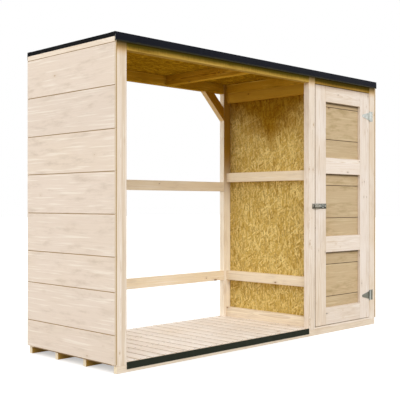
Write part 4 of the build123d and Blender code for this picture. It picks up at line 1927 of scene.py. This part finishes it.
@dataclass
class Studio:
    """Pale floor, soft light and the camera that took the view."""

    camera_at: tuple[float, float, float] = (-3.9555, -3.7755, 0.9345)
    looks_along: tuple[float, float, float] = (0.7046, 0.7096, 0.0)
    lens: float = 70.4
    sensor: float = 36.0
    shift_up: float = 0.0075
    farthest: float = 100.0
    around: float = 0.90
    floor_reach: float = 40.0
    floor_level: float = -0.0005
    floor_glow: float = 0.46

    @staticmethod
    def aim(name: str, data: bpy.types.ID, along: Vector) -> bpy.types.Object:
        """Aims a camera or a light, held level.

        Args:
            name: name of the object.
            data: the camera or the light.
            along: direction that it looks in.

        Returns:
            The linked object.
        """
        made = bpy.data.objects.new(name, data)
        made.rotation_mode = "QUATERNION"
        made.rotation_quaternion = along.to_track_quat("-Z", "Y")
        bpy.context.scene.collection.objects.link(made)
        return made

    def camera(self) -> None:
        """Sets the camera where the picture was taken from."""
        data = bpy.data.cameras.new("view")
        data.lens, data.sensor_width, data.shift_y = self.lens, self.sensor, self.shift_up
        data.clip_end = self.farthest
        eye = self.aim("view", data, Vector(self.looks_along))
        eye.location = self.camera_at
        bpy.context.scene.camera = eye

    @staticmethod
    def seen(w: Wiring) -> Socket:
        """1 for rays that show the surroundings: camera, glossy and transmission rays.

        Args:
            w: wiring of a material or of the world.

        Returns:
            The mask.
        """
        rays = w.add("ShaderNodeLightPath").outputs
        shown = w.math("MAXIMUM", rays["Is Camera Ray"], rays["Is Glossy Ray"])
        return w.math("MAXIMUM", shown, rays["Is Transmission Ray"])

    def floor(self) -> None:
        """Lays a wide pale floor that keeps the building's shadow, softened to the camera."""
        mesh = bpy.data.meshes.new("studio_floor")
        reach = self.floor_reach
        mesh.from_pydata([(x, y, self.floor_level) for x, y in (
            (-reach, -reach), (reach, -reach), (reach, reach), (-reach, reach))], [],
            [[0, 1, 2, 3]])
        material = bpy.data.materials.new("studio_floor")
        material.use_nodes = True
        w = Wiring(material.node_tree)
        seen = self.seen(w)
        colour = w.blend(seen, (0.46, 0.40, 0.30, 1.0), (0.74, 0.74, 0.74, 1.0))
        inputs = material.node_tree.nodes["Principled BSDF"].inputs
        for key, value in (("Base Color", colour), ("Emission Color", WHITE),
                           ("Emission Strength", w.scaled(seen, self.floor_glow)),
                           ("Roughness", 1.0), ("Specular IOR Level", 0.0)):
            w.feed(inputs[key], value)
        new_piece(mesh, material)

    def world(self) -> None:
        """White surroundings to the camera, softer to everything that they light."""
        world = bpy.data.worlds.new("studio")
        bpy.context.scene.world = world
        world.use_nodes = True
        w = Wiring(world.node_tree)
        back = world.node_tree.nodes["Background"].inputs
        w.feed(back["Color"], WHITE)
        w.feed(back["Strength"], w.scaled(self.seen(w), 1.0 - self.around, self.around))

    def sun(self, name: str, comes_from: Colour, strength: float, wide: float) -> None:
        """Lights the building evenly from one side, with soft shadows.

        Args:
            name: name of the light.
            comes_from: direction that the light comes from.
            strength: its strength.
            wide: how wide the source looks, in degrees.
        """
        data = bpy.data.lights.new(name, "SUN")
        data.energy, data.angle = strength, math.radians(wide)
        self.aim(name, data, -Vector(comes_from))

    def build(self) -> None:
        """Builds the whole studio."""
        self.camera()
        self.floor()
        self.world()
        self.sun("key", (-3.4, -5.6, 5.1), 1.2, 34.0)
        self.sun("back", (-1.6, 2.4, 0.5), 1.0, 44.0)
        bpy.context.scene.view_settings.view_transform = "Standard"


def main() -> None:
    """Builds every sub-assembly in order."""
    logging.basicConfig(level=logging.INFO, format="%(name)s: %(message)s")
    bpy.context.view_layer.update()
    walls = (Boarding("left_cladding", Wall.LEFT), Boarding("right_cladding", Wall.RIGHT),
             Boarding("back_cladding", Wall.BACK))
    floors = (SlattedFloor("log_bay_deck", ("left_front_post", "left_back_post",
                                            "middle_front_post", "middle_back_post")),
              SlattedFloor("cupboard_floor", ("right_back_post",), seed=70))
    roof = RoofEdge()
    for part in (Framing(), *walls, Boarding("door_boards", Wall.FRONT), Trims(), *floors,
                 StrandBoards(), roof, FeltRoof(), Metalwork(), Fasteners(floors, walls, roof),
                 Studio()):
        part.build()


if __name__ == "__main__":
    main()
